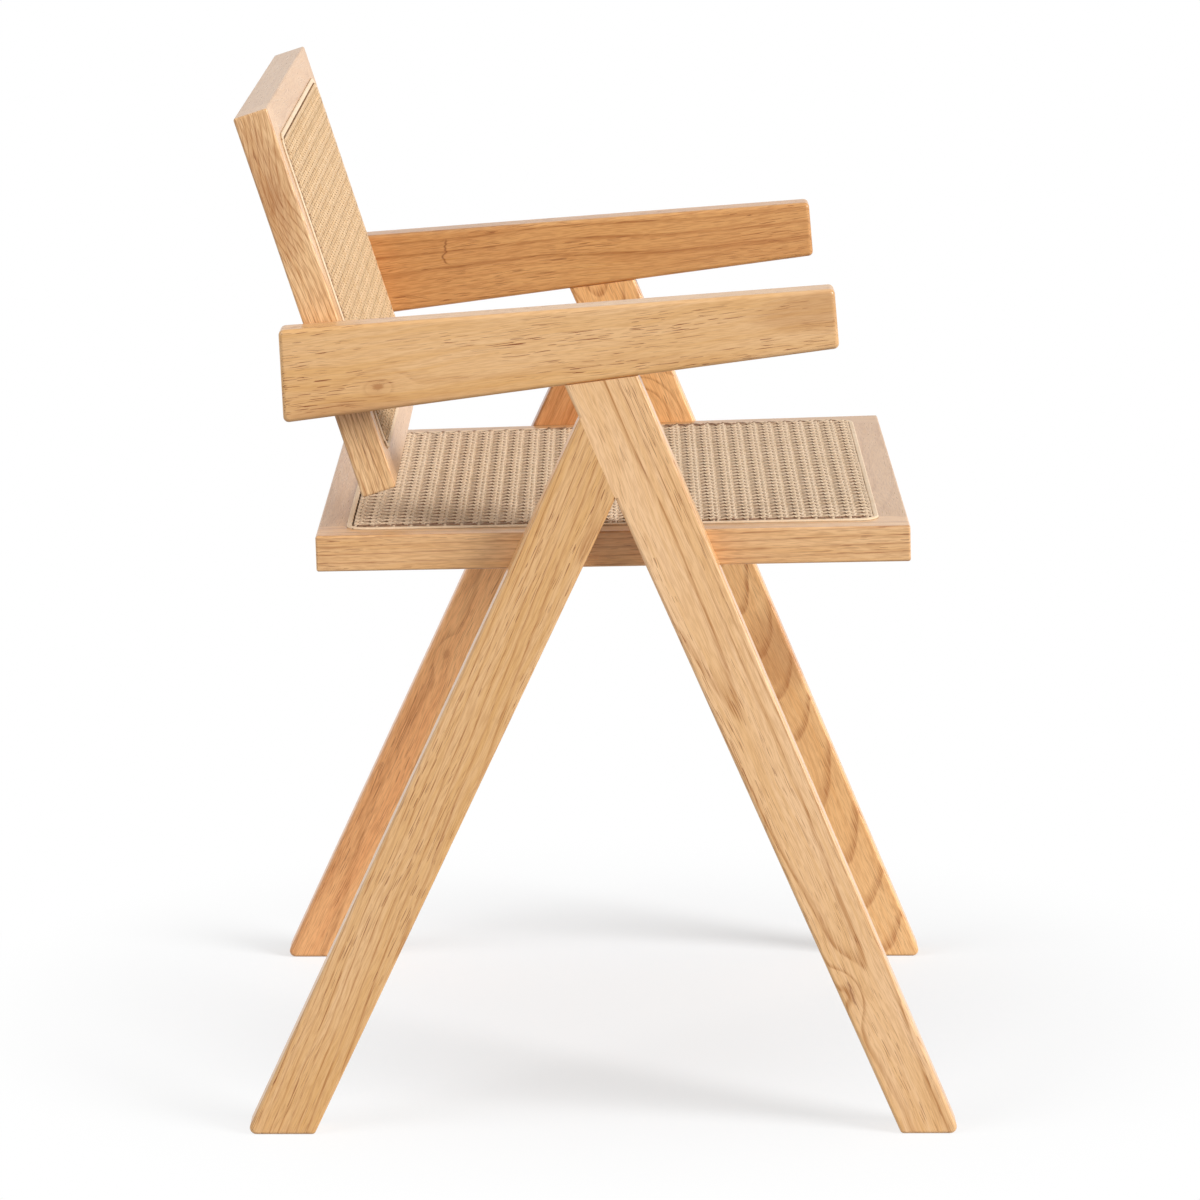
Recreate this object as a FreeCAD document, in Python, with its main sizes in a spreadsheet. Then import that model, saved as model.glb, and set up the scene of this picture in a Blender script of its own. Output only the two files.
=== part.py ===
import FreeCAD, Part
import math
import os
import Sketcher

# Wooden armchair with a cane seat and a cane back. Millimetres, +Z up, the chair faces -Y.
# +X is the sitter's left. The origin is on the floor, at the middle of the chair's plan.
#
# The chair is two A-shaped side frames, each of a front leg, a rear leg and an armrest,
# with a seat frame let into the legs and a leaning back frame bolted between the armrests.
# The seat frame and the back frame are made the same way: four boards, dowelled at the
# corners, with a groove in the face that takes the edge of a cane panel and its spline.

Vector = FreeCAD.Vector
Rotation = FreeCAD.Rotation
Placement = FreeCAD.Placement

# Driving sizes: alias, value in millimetres, what it measures.
SIZES = (
    ("overall_width", 515.0, "across the outer faces of the two side frames"),
    ("leg_thickness", 28.0, "thickness of legs and armrests, across the chair"),
    # front leg, seen from the side
    ("front_foot_reach", 269.22, "from the middle of the chair forward to the front foot's toe"),
    ("front_foot_width", 44.3, "length of the front foot on the floor"),
    ("leg_gauge_height", 566.0, "height at which the two runs below are measured"),
    ("front_leg_front_run", 237.2, "how far the front edge moves back up to that height"),
    ("front_leg_rear_run", 249.4, "how far the rear edge moves back up to that height"),
    # rear leg, seen from the side
    ("rear_foot_reach", 268.2, "from the middle of the chair back to the rear foot's heel"),
    ("rear_foot_width", 51.6, "length of the rear foot on the floor"),
    ("joint_drop", 26.8, "along the front leg, from the armrest down to the rear leg's joint"),
    ("joint_length", 65.0, "length of the rear leg's joint on the front leg"),
    ("foot_point_radius", 5.0, "rounding of the sharp corner of each foot"),
    ("foot_blunt_radius", 3.0, "rounding of the blunt corner of each foot"),
    ("leg_arris_radius", 2.6, "rounding of the long edges of the legs"),
    # armrest, seen from the side
    ("arm_front_reach", 170.0, "from the middle of the chair forward to the armrest's top corner"),
    ("arm_rear_reach", 234.8, "from the middle of the chair back to the armrest's top corner"),
    ("arm_front_rise", 178.6, "height of the front top corner over the seat's front edge"),
    ("arm_rear_rise", 158.9, "height of the rear top corner over the seat's rear edge"),
    ("arm_front_depth", 44.0, "depth of the front end"),
    ("arm_rear_depth", 68.5, "depth of the rear end"),
    ("arm_front_slant", 3.9, "how far the front end's lower corner leads its upper one"),
    ("arm_rear_slant", 2.9, "how far the rear end's lower corner leads its upper one"),
    ("arm_corner_radius", 4.0, "rounding of the four corners in the side view"),
    ("arm_arris_radius", 3.2, "rounding of the long edges of the armrest"),
    # seat frame
    ("seat_front_height", 462.8, "height of the seat's front top edge"),
    ("seat_rear_height", 452.5, "height of the seat's rear top edge"),
    ("seat_front_reach", 228.0, "from the middle of the chair forward to the seat's front edge"),
    ("seat_rear_reach", 211.8, "from the middle of the chair back to the seat's rear edge"),
    ("seat_let_in", 3.0, "depth of the housing for the seat, midway between the legs"),
    ("seat_splay", 15.0, "how much further out each side rail is at the front than at the rear"),
    ("seat_thickness", 27.0, "thickness of the seat's rails"),
    ("seat_rail_width", 38.0, "width of the seat's rails"),
    ("seat_spline_inset", 21.5, "width of rail that shows outside the spline"),
    ("seat_arris_radius", 1.8, "rounding of the seat frame's outer edges"),
    ("housing_clearance", 0.1, "play over and under a rail in its housing"),
    # back frame
    ("back_gap", 28.9, "height of the back's lowest corner over the seat"),
    ("back_foot_reach", 176.1, "from the middle of the chair back to that corner"),
    ("back_rise", 280.2, "height of the back's rear face"),
    ("back_run", 91.1, "how far the back leans over that height"),
    ("back_thickness", 26.0, "thickness of the stiles and of the back's rails"),
    ("back_rail_width", 40.0, "width of the stiles and of the back's rails"),
    ("back_spline_inset", 23.5, "width of board that shows outside the spline"),
    ("back_arris_radius", 1.8, "rounding of the back frame's outer edges"),
    # cane, groove and spline, alike on both frames
    ("groove_depth", 7.0, "depth of the groove"),
    ("groove_corner_radius", 10.0, "radius of the groove's inner wall at the corners"),
    ("cane_thickness", 1.2, "thickness of the cane sheet"),
    ("cane_lip_gap", 0.8, "from the cane's tucked edge to the groove's bottom"),
    ("spline_width", 4.0, "width of the spline"),
    ("spline_crown", 1.5, "height of the spline over the rails"),
    ("spline_round", 1.1, "rounding of the spline's top edges"),
    ("spline_clearance", 0.1, "play on each side of the spline"),
    ("spline_bottom_gap", 0.5, "from the spline to the groove's bottom"),
    ("net_pitch", 25.4, "from one gap of the sheet to the next, two meshes of half-inch cane"),
    ("net_gap_width", 15.6, "width of a gap across its flats"),
    # dowels
    ("dowel_diameter", 8.0, "diameter of every dowel"),
    ("dowel_clearance", 0.05, "play around a dowel in its hole"),
    ("dowel_end_gap", 1.0, "room for glue past each end of a dowel"),
    ("frame_dowel_depth", 16.0, "how deep a corner dowel goes into each board"),
    ("frame_dowel_spacing", 19.0, "between the two dowels of a corner"),
    ("joint_dowel_leg_depth", 18.0, "how deep a leg dowel goes into the front leg"),
    ("joint_dowel_foot_depth", 15.0, "how deep a leg dowel goes into the rear leg"),
    ("joint_dowel_inset", 14.5, "from the joint's lower end up to its first dowel"),
    ("joint_dowel_spacing", 23.0, "between the two dowels of that joint"),
    ("arm_dowel_depth", 20.0, "how deep a dowel goes into the armrest and into the leg"),
    ("arm_dowel_spacing", 22.0, "between the two dowels under an armrest"),
    # bolts, washers and threaded inserts
    ("bolt_diameter", 6.0, "diameter of every bolt"),
    ("bolt_hole_clearance", 0.3, "play around a bolt in a rail"),
    ("bolt_thread_clearance", 0.05, "play around a bolt in its insert"),
    ("bolt_head_diameter", 10.5, "diameter of a bolt's head"),
    ("bolt_head_height", 3.3, "height of a bolt's head"),
    ("bolt_socket_size", 4.0, "across the flats of the head's socket"),
    ("bolt_socket_depth", 2.0, "depth of the head's socket"),
    ("bolt_end_gap", 1.0, "from the bolt's end to the insert's end"),
    ("washer_diameter", 12.0, "diameter of a washer"),
    ("washer_thickness", 1.6, "thickness of a washer"),
    ("counterbore_clearance", 0.4, "play around a washer in its counterbore"),
    ("counterbore_recess", 1.1, "how far a bolt's head lies below the wood"),
    ("insert_diameter", 9.0, "diameter of a threaded insert"),
    ("insert_length", 13.0, "length of a threaded insert"),
    ("insert_recess", 0.6, "how far an insert lies below the wood"),
    ("insert_end_gap", 1.0, "from the insert's end to the bottom of its hole"),
    ("back_bolt_spacing", 34.0, "between the two bolts of a stile, along the stile"),
    # helpers
    ("overrun", 5.0, "how far a cutting tool stands out of what it cuts"),
    ("same_point", 0.001, "how close two points are that count as one"),
)

# Worked-out places, each from the sizes and the rows before it.
# Names that end in _y and _z are places in the side view, and slopes are Y over Z.
LAYOUT = (
    ("outer_face", "Sizes.overall_width / 2"),
    ("inner_face", "outer_face - Sizes.leg_thickness"),
    # armrest corners
    ("arm_ft_y", "-Sizes.arm_front_reach"),
    ("arm_ft_z", "Sizes.seat_front_height + Sizes.arm_front_rise"),
    ("arm_fb_y", "arm_ft_y - Sizes.arm_front_slant"),
    ("arm_fb_z", "arm_ft_z - Sizes.arm_front_depth"),
    ("arm_rt_y", "Sizes.arm_rear_reach"),
    ("arm_rt_z", "Sizes.seat_rear_height + Sizes.arm_rear_rise"),
    ("arm_rb_y", "arm_rt_y - Sizes.arm_rear_slant"),
    ("arm_rb_z", "arm_rt_z - Sizes.arm_rear_depth"),
    ("arm_under_grade", "(arm_rb_z - arm_fb_z) / (arm_rb_y - arm_fb_y)"),
    # front leg: feet on the floor, head cut to the underside of the armrest
    ("toe_y", "-Sizes.front_foot_reach"),
    ("instep_y", "toe_y + Sizes.front_foot_width"),
    ("front_slope", "Sizes.front_leg_front_run / Sizes.leg_gauge_height"),
    ("rear_slope", "Sizes.front_leg_rear_run / Sizes.leg_gauge_height"),
    ("arm_under_start", "arm_fb_z - arm_under_grade * arm_fb_y"),
    ("head_front_z", "(arm_under_start + arm_under_grade * toe_y) / (1 - arm_under_grade * front_slope)"),
    ("head_front_y", "toe_y + front_slope * head_front_z"),
    ("head_rear_z", "(arm_under_start + arm_under_grade * instep_y) / (1 - arm_under_grade * rear_slope)"),
    ("head_rear_y", "instep_y + rear_slope * head_rear_z"),
    # direction down the front leg's rear edge, on which the rear leg is butted
    ("edge_length", "hypot(head_rear_y - instep_y; head_rear_z)"),
    ("down_y", "(instep_y - head_rear_y) / edge_length"),
    ("down_z", "-head_rear_z / edge_length"),
    ("joint_top_y", "head_rear_y + down_y * Sizes.joint_drop"),
    ("joint_top_z", "head_rear_z + down_z * Sizes.joint_drop"),
    ("crotch_y", "joint_top_y + down_y * Sizes.joint_length"),
    ("crotch_z", "joint_top_z + down_z * Sizes.joint_length"),
    ("heel_y", "Sizes.rear_foot_reach"),
    ("arch_y", "heel_y - Sizes.rear_foot_width"),
    ("rear_leg_slope", "(crotch_y - arch_y + joint_top_y - heel_y) / (crotch_z + joint_top_z)"),
    # seat frame: front top edge, tilt, and its board's middle plane
    ("seat_y", "-Sizes.seat_front_reach"),
    ("seat_z", "Sizes.seat_front_height"),
    ("seat_fall", "Sizes.seat_front_height - Sizes.seat_rear_height"),
    ("seat_depth", "Sizes.seat_front_reach + Sizes.seat_rear_reach"),
    ("seat_length", "hypot(seat_depth; seat_fall)"),
    ("seat_angle", "-atan2(seat_fall; seat_depth)"),
    ("seat_grade", "-seat_fall / seat_depth"),
    ("seat_mid_y", "seat_y + sin(seat_angle) * Sizes.seat_thickness / 2"),
    ("seat_mid_z", "seat_z - cos(seat_angle) * Sizes.seat_thickness / 2"),
    # seat bolts: where each leg's centre line meets that plane
    ("front_leg_slope", "(front_slope + rear_slope) / 2"),
    ("front_foot_y", "(toe_y + instep_y) / 2"),
    ("rear_foot_y", "(heel_y + arch_y) / 2"),
    ("seat_mid_start", "seat_mid_z - seat_grade * seat_mid_y"),
    ("bolt_1_z", "(seat_mid_start + seat_grade * front_foot_y) / (1 - seat_grade * front_leg_slope)"),
    ("bolt_1_y", "front_foot_y + front_leg_slope * bolt_1_z"),
    ("bolt_2_z", "(seat_mid_start + seat_grade * rear_foot_y) / (1 - seat_grade * rear_leg_slope)"),
    ("bolt_2_y", "rear_foot_y + rear_leg_slope * bolt_2_z"),
    # half widths of the seat frame
    ("seat_side_grade", "Sizes.seat_splay / seat_length"),
    ("crossing", "(bolt_1_y + bolt_2_y) / 2 - seat_y"),
    ("seat_half_near", "inner_face + Sizes.seat_let_in + seat_side_grade * crossing"),
    ("seat_half_far", "seat_half_near - Sizes.seat_splay"),
    ("seat_face_1", "seat_half_near - seat_side_grade * (bolt_1_y - seat_y)"),
    ("seat_face_2", "seat_half_near - seat_side_grade * (bolt_2_y - seat_y)"),
    # back frame: lower front edge, lean, and its board's middle plane
    ("back_length", "hypot(Sizes.back_rise; Sizes.back_run)"),
    ("back_angle", "atan2(Sizes.back_rise; Sizes.back_run)"),
    ("back_foot_z", "seat_z + seat_grade * (Sizes.back_foot_reach - seat_y) + Sizes.back_gap"),
    ("back_y", "Sizes.back_foot_reach - sin(back_angle) * Sizes.back_thickness"),
    ("back_z", "back_foot_z + cos(back_angle) * Sizes.back_thickness"),
    ("back_mid_y", "(Sizes.back_foot_reach + back_y) / 2"),
    ("back_mid_z", "(back_foot_z + back_z) / 2"),
    ("back_half", "inner_face"),
    # back bolts: on the stile's centre line, about the armrest's centre line
    ("arm_front_mid_z", "(arm_ft_z + arm_fb_z) / 2"),
    ("arm_front_mid_y", "(arm_ft_y + arm_fb_y) / 2"),
    ("arm_rear_mid_z", "(arm_rt_z + arm_rb_z) / 2"),
    ("arm_rear_mid_y", "(arm_rt_y + arm_rb_y) / 2"),
    ("arm_mid_grade", "(arm_rear_mid_z - arm_front_mid_z) / (arm_rear_mid_y - arm_front_mid_y)"),
    ("arm_mid_start", "arm_front_mid_z - arm_mid_grade * arm_front_mid_y"),
    ("back_slope", "Sizes.back_run / Sizes.back_rise"),
    ("stile_foot_y", "back_mid_y - back_slope * back_mid_z"),
    ("grip_z", "(arm_mid_start + arm_mid_grade * stile_foot_y) / (1 - arm_mid_grade * back_slope)"),
    ("grip_y", "stile_foot_y + back_slope * grip_z"),
    ("bolt_3_y", "grip_y - cos(back_angle) * Sizes.back_bolt_spacing / 2"),
    ("bolt_3_z", "grip_z - sin(back_angle) * Sizes.back_bolt_spacing / 2"),
    ("bolt_4_y", "grip_y + cos(back_angle) * Sizes.back_bolt_spacing / 2"),
    ("bolt_4_z", "grip_z + sin(back_angle) * Sizes.back_bolt_spacing / 2"),
    # groove: radii of its walls and of the cane's tucked edge, at the corners
    ("wall_radius", "Sizes.groove_corner_radius"),
    ("lip_radius", "wall_radius + Sizes.cane_thickness"),
    ("spline_inner_radius", "lip_radius + Sizes.spline_clearance"),
    ("spline_outer_radius", "spline_inner_radius + Sizes.spline_width"),
    ("groove_radius", "spline_outer_radius + Sizes.spline_clearance"),
    # dowels
    ("dowel_radius", "Sizes.dowel_diameter / 2"),
    ("dowel_hole_radius", "dowel_radius + Sizes.dowel_clearance"),
    # bolts
    ("bolt_radius", "Sizes.bolt_diameter / 2"),
    ("bolt_stack", "Sizes.washer_thickness + Sizes.bolt_head_height"),
    ("counterbore_depth", "bolt_stack + Sizes.counterbore_recess"),
    ("insert_end", "Sizes.insert_recess + Sizes.insert_length"),
)

doc = FreeCAD.newDocument("armchair")


def make_sheet(name, rows):
    """A sheet with one aliased row for each value, and what it measures beside it."""
    sheet = doc.addObject("Spreadsheet::Sheet", name)
    for number, row in enumerate(rows, start=1):
        cell = "B%d" % number
        sheet.set("A%d" % number, row[0])
        sheet.set(cell, row[1] if isinstance(row[1], str) else repr(row[1]))
        sheet.setAlias(cell, row[0])
        sheet.set("C%d" % number, row[-1])
    return sheet


sizes = make_sheet("Sizes", SIZES)
layout = make_sheet("Layout", [(name, "=" + formula, name) for name, formula in LAYOUT])
doc.recompute()


def value(expression):
    """What an expression on the two sheets gives, in millimetres or degrees."""
    found = sizes.evalExpression(expression)
    return float(getattr(found, "Value", found))


# Features

def sketch_outline(sketch, corners):
    """A closed outline whose every corner is tied to the sheets by its two distances."""
    points = [Vector(value(across), value(up)) for across, up in corners]
    count = len(points)
    for index, point in enumerate(points):
        sketch.addGeometry(Part.LineSegment(point, points[(index + 1) % count]), False)
    for index in range(count):
        sketch.addConstraint(Sketcher.Constraint("Coincident", index, 2, (index + 1) % count, 1))
    for index, (across, up) in enumerate(corners):
        for kind, place, size in (("DistanceX", across, points[index].x), ("DistanceY", up, points[index].y)):
            number = sketch.addConstraint(Sketcher.Constraint(kind, -1, 1, index, 1, size))
            sketch.setExpression("Constraints[%d]" % number, place)


def board(name, plane, corners, start, thickness):
    """A board: its outline on one of its body's own planes, padded by its thickness."""
    body = doc.addObject("PartDesign::Body", name + "_board")
    sketch = body.newObject("Sketcher::SketchObject", name + "_outline")
    support = [one for one in body.Origin.OriginFeatures if one.Role == plane][0]
    sketch.AttachmentSupport = [(support, "")]
    sketch.MapMode = "FlatFace"
    sketch.setExpression("AttachmentOffset.Base.z", start)
    sketch_outline(sketch, corners)
    pad = body.newObject("PartDesign::Pad", name + "_pad")
    pad.Profile = sketch
    pad.setExpression("Length", thickness)
    doc.recompute()
    return body


def round_edges(body, radius, wanted):
    """Rounds the edges of a body whose two ends both pass the test."""
    base = body.Tip
    names = ["Edge%d" % number for number, edge in enumerate(base.Shape.Edges, start=1)
             if wanted(edge.Vertexes[0].Point, edge.Vertexes[-1].Point)]
    fillet = body.newObject("PartDesign::Fillet", body.Name + "_round")
    fillet.Base = (base, names)
    fillet.setExpression("Radius", radius)
    doc.recompute()
    return body


def near(first, second):
    return abs(first - second) < value("Sizes.same_point")


def at_place(point, y, z):
    return near(point.y, value(y)) and near(point.z, value(z))


def rod(name, radius, x_from, x_to, y, z):
    """A round bar along X, between two places on X."""
    bar = doc.addObject("Part::Cylinder", name)
    bar.Placement = Placement(Vector(), Rotation(Vector(0, 1, 0), 90))
    bar.setExpression("Radius", radius)
    bar.setExpression("Height", "(%s) - (%s)" % (x_to, x_from))
    bar.setExpression("Placement.Base.x", x_from)
    bar.setExpression("Placement.Base.y", y)
    bar.setExpression("Placement.Base.z", z)
    return bar


def slanted_rod(name, radius, height, x, y, z, angle):
    """A round bar in a side frame's plane, turned about X by an angle from upright."""
    bar = doc.addObject("Part::Cylinder", name)
    bar.Placement = Placement(Vector(), Rotation(Vector(1, 0, 0), 90))
    bar.setExpression("Radius", radius)
    bar.setExpression("Height", height)
    bar.setExpression("Placement.Base.x", x)
    bar.setExpression("Placement.Base.y", y)
    bar.setExpression("Placement.Base.z", z)
    bar.setExpression("Placement.Rotation.Angle", angle)
    return bar


def cut(name, base, tool):
    result = doc.addObject("Part::Cut", name)
    result.Base = base
    result.Tool = tool
    return result


def fuse(name, shapes):
    result = doc.addObject("Part::MultiFuse", name)
    result.Shapes = shapes
    result.Refine = True
    return result


def group(name, members):
    result = doc.addObject("Part::Compound", name)
    result.Links = members
    return result


def mirrored(name, source):
    """The same piece on the sitter's right."""
    result = doc.addObject("Part::Mirroring", name)
    result.Source = source
    result.Normal = Vector(1, 0, 0)
    return result


def put_in_frame(piece, frame):
    """Carries a piece from its flat drawing to the tilted frame that it belongs to."""
    piece.Placement = Placement(Vector(), Rotation(Vector(1, 0, 0), 90))
    piece.setExpression("Placement.Base.y", "Layout.%s_y" % frame)
    piece.setExpression("Placement.Base.z", "Layout.%s_z" % frame)
    piece.setExpression("Placement.Rotation.Angle", "Layout.%s_angle" % frame)
    return piece


nodes = {}


def node(name, piece):
    """Names a finished piece."""
    piece.Label = name
    nodes[name] = piece
    return piece


def node_pair(name, left):
    """A finished piece on the left and its mirror image on the right."""
    node(name + "_left", left)
    node(name + "_right", mirrored(left.Name + "_mirror", left))


def node_group(name, left_members):
    """Small parts of one kind, on both sides, kept as one node of separate solids."""
    left = group(name + "_of_left", left_members)
    node(name, group(name, [left, mirrored(name + "_of_right", left)]))


# Cane frames: the seat and the back, each drawn flat with its face at z = 0,
# its near edge at y = 0 and its length along +y

class CaneFrame:
    """Names of the sizes that one frame is made from."""

    def __init__(self, name, half_near, half_far):
        self.name = name
        self.half_near = half_near
        self.half_far = half_far
        self.length = "Layout.%s_length" % name
        self.thickness = "Sizes.%s_thickness" % name
        self.width = "Sizes.%s_rail_width" % name
        self.inset = "Sizes.%s_spline_inset" % name
        self.arris = "Sizes.%s_arris_radius" % name

    def half_at(self, y):
        """Half width of the frame at a distance from its near edge."""
        widening = "(%s - %s) / %s" % (self.half_far, self.half_near, self.length)
        return "(%s + %s * (%s))" % (self.half_near, widening, y)

    def inner_at(self, y):
        return "(%s - %s)" % (self.half_at(y), self.width)

    def side_stretch(self):
        """How much longer a distance square to a side is when it is measured along x."""
        return "(hypot(%s; %s - %s) / %s)" % (self.length, self.half_near, self.half_far, self.length)


def side_board(frame, grow):
    """The left board, with its top and bottom faces moved out by a clearance."""
    corners = (
        (frame.half_at("0"), "0"),
        (frame.half_at(frame.length), frame.length),
        (frame.inner_at(frame.length), frame.length),
        (frame.inner_at("0"), "0"),
    )
    start = "-(%s + %s)" % (frame.thickness, grow)
    return corners, start, "%s + 2 * %s" % (frame.thickness, grow)


def make_side_board(frame):
    corners, start, thickness = side_board(frame, "0")
    body = board(frame.name + "_side", "XY_Plane", corners, start, thickness)

    def outside(point):
        return near(point.x, value(frame.half_at(repr(point.y))))

    def at_end(point):
        return near(point.y, 0) or near(point.y, value(frame.length))

    def wanted(one, other):
        along_end = at_end(one) and near(one.y, other.y) and near(one.z, other.z)
        return (outside(one) and outside(other)) or along_end

    return round_edges(body, frame.arris, wanted)


def make_cross_board(frame, end):
    """The near or the far board, between the two side boards."""
    far = end == "far"
    edge = frame.length if far else "0"
    inner = "(%s - %s)" % (frame.length, frame.width) if far else frame.width
    corners = (
        ("-" + frame.inner_at(edge), edge),
        (frame.inner_at(edge), edge),
        (frame.inner_at(inner), inner),
        ("-" + frame.inner_at(inner), inner),
    )
    name = "%s_%s" % (frame.name, end)
    body = board(name, "XY_Plane", corners, "-" + frame.thickness, frame.thickness)

    def wanted(one, other):
        on_edge = near(one.y, value(edge)) and near(other.y, value(edge))
        return on_edge and near(one.z, other.z)

    return round_edges(body, frame.arris, wanted)


def make_ring_outline(frame):
    """The outline on which the centres of the groove's corner arcs lie."""
    depth = "(%s + Layout.groove_radius)" % frame.inset
    far = "(%s - %s)" % (frame.length, depth)
    across = "(%s * %s)" % (depth, frame.side_stretch())
    corners = (
        ("-(%s - %s)" % (frame.half_at(depth), across), depth),
        ("(%s - %s)" % (frame.half_at(depth), across), depth),
        ("(%s - %s)" % (frame.half_at(far), across), far),
        ("-(%s - %s)" % (frame.half_at(far), across), far),
    )
    sketch = doc.addObject("Sketcher::SketchObject", frame.name + "_ring_outline")
    sketch_outline(sketch, corners)
    doc.recompute()
    return sketch


def rounded_block(name, outline, radius, bottom, top):
    """The outline grown by a radius, with round corners, between two heights."""
    grown = doc.addObject("Part::Offset2D", name + "_rim")
    grown.Source = outline
    grown.Mode = "Pipe"
    grown.Join = "Arc"
    grown.Fill = False
    grown.setExpression("Value", radius)
    block = doc.addObject("Part::Extrusion", name)
    block.Base = grown
    block.DirMode = "Custom"
    block.Dir = Vector(0, 0, 1)
    block.Solid = True
    block.setExpression("LengthFwd", top)
    block.setExpression("LengthRev", "-(%s)" % bottom)
    return block


def ring(name, outline, inner, outer, bottom, top):
    return cut(name,
               rounded_block(name + "_outer", outline, outer, bottom, top),
               rounded_block(name + "_inner", outline, inner, bottom, top))


def make_spline(frame, outline):
    """The spline: a ring in the groove whose top edges are rounded."""
    bottom = "-(Sizes.groove_depth - Sizes.spline_bottom_gap)"
    blank = ring(frame.name + "_spline_blank", outline, "Layout.spline_inner_radius",
                 "Layout.spline_outer_radius", bottom, "Sizes.spline_crown")
    doc.recompute()
    top = value("Sizes.spline_crown")
    radius = value("Sizes.spline_round")
    edges = [(number, radius, radius) for number, edge in enumerate(blank.Shape.Edges, start=1)
             if all(near(vertex.Z, top) for vertex in edge.Vertexes)]
    spline = doc.addObject("Part::Fillet", frame.name + "_spline")
    spline.Base = blank
    spline.Edges = edges
    return put_in_frame(spline, frame.name)


def gap_outline(x, y):
    """One eight-sided gap of the cane sheet, with its flats along x and y."""
    sides = 8
    half_turn = math.pi / sides
    reach = value("Sizes.net_gap_width") / 2 / math.cos(half_turn)
    turns = [(2 * side + 1) * half_turn for side in range(sides)]
    points = [Vector(x + reach * math.cos(turn), y + reach * math.sin(turn)) for turn in turns]
    return Part.makePolygon(points + points[:1])


def make_cane(frame, outline):
    """The cane: one holed sheet whose edge is tucked down the groove's inner wall.

    The gaps lie in rows across the frame, a pitch apart, as many as the opening takes,
    with one column on the frame's middle line.
    """
    pitch = value("Sizes.net_pitch")
    rim = outline.Shape.Wires[0].makeOffset2D(value("Layout.lip_radius"))
    wall = outline.Shape.Wires[0].makeOffset2D(value("Layout.wall_radius"))
    margin = value(frame.inset + " + Layout.groove_radius - Layout.wall_radius")
    length = value(frame.length)
    rows = int((length - 2 * margin) / pitch)
    gaps = []
    for row in range(rows):
        y = length / 2 + (row - (rows - 1) / 2) * pitch
        open_half = value(frame.half_at(repr(y + pitch / 2))) - margin
        beside = int((open_half - pitch / 2) / pitch)
        gaps += [gap_outline(column * pitch, y) for column in range(-beside, beside + 1)]
    sheet = Part.makeFace([rim] + gaps, "Part::FaceMakerBullseye")
    tuck = Part.makeFace([rim, wall], "Part::FaceMakerBullseye")
    lip_depth = value("Sizes.groove_depth - Sizes.cane_lip_gap")
    plate = sheet.extrude(Vector(0, 0, value("Sizes.cane_thickness")))
    lip = tuck.extrude(Vector(0, 0, -lip_depth))
    cane = doc.addObject("Part::Feature", frame.name + "_cane")
    cane.Shape = plate.fuse(lip).removeSplitter()
    print(frame.name, "cane has", len(gaps), "gaps in", rows, "rows")
    return put_in_frame(cane, frame.name)


def corner_dowels(frame, left_side):
    """Two dowels, or two holes for them, at each left corner, along x."""
    depth = "Sizes.frame_dowel_depth" + ("" if left_side == "dowel" else " + Sizes.dowel_end_gap")
    radius = "Layout.dowel_radius" if left_side == "dowel" else "Layout.dowel_hole_radius"
    dowels = []
    for end, edge_to_mid in (("near", "%s / 2"), ("far", frame.length + " - %s / 2")):
        middle = edge_to_mid % frame.width
        for number, sign in enumerate(("-", "+")):
            y = "%s %s Sizes.frame_dowel_spacing / 2" % (middle, sign)
            name = "%s_%s_%s_%d" % (frame.name, end, left_side, number)
            joint = frame.inner_at(y)
            dowels.append(rod(name, radius, "%s - (%s)" % (joint, depth), "%s + (%s)" % (joint, depth),
                              y, "-%s / 2" % frame.thickness))
    return dowels


def make_cane_frame(frame, side_tools):
    """Cuts groove, dowel holes and bolt holes, and gives the frame's four boards."""
    outline = make_ring_outline(frame)
    groove = ring(frame.name + "_groove", outline, "Layout.wall_radius", "Layout.groove_radius",
                  "-Sizes.groove_depth", "Sizes.overrun")
    left_holes = group(frame.name + "_left_holes", corner_dowels(frame, "hole"))
    right_holes = mirrored(frame.name + "_right_holes", left_holes)
    tools = fuse(frame.name + "_tools", [groove, left_holes, right_holes])
    boards = {}
    for end, blank in (("side", make_side_board(frame)), ("near", make_cross_board(frame, "near")),
                       ("far", make_cross_board(frame, "far"))):
        boards[end] = put_in_frame(cut("%s_%s_cut" % (frame.name, end), blank, tools), frame.name)
    boards["side"] = cut(frame.name + "_side_bored", boards["side"], side_tools)
    return outline, boards


# Bolts: each fastens a board of a cane frame to a leg or an armrest, along x

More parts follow.
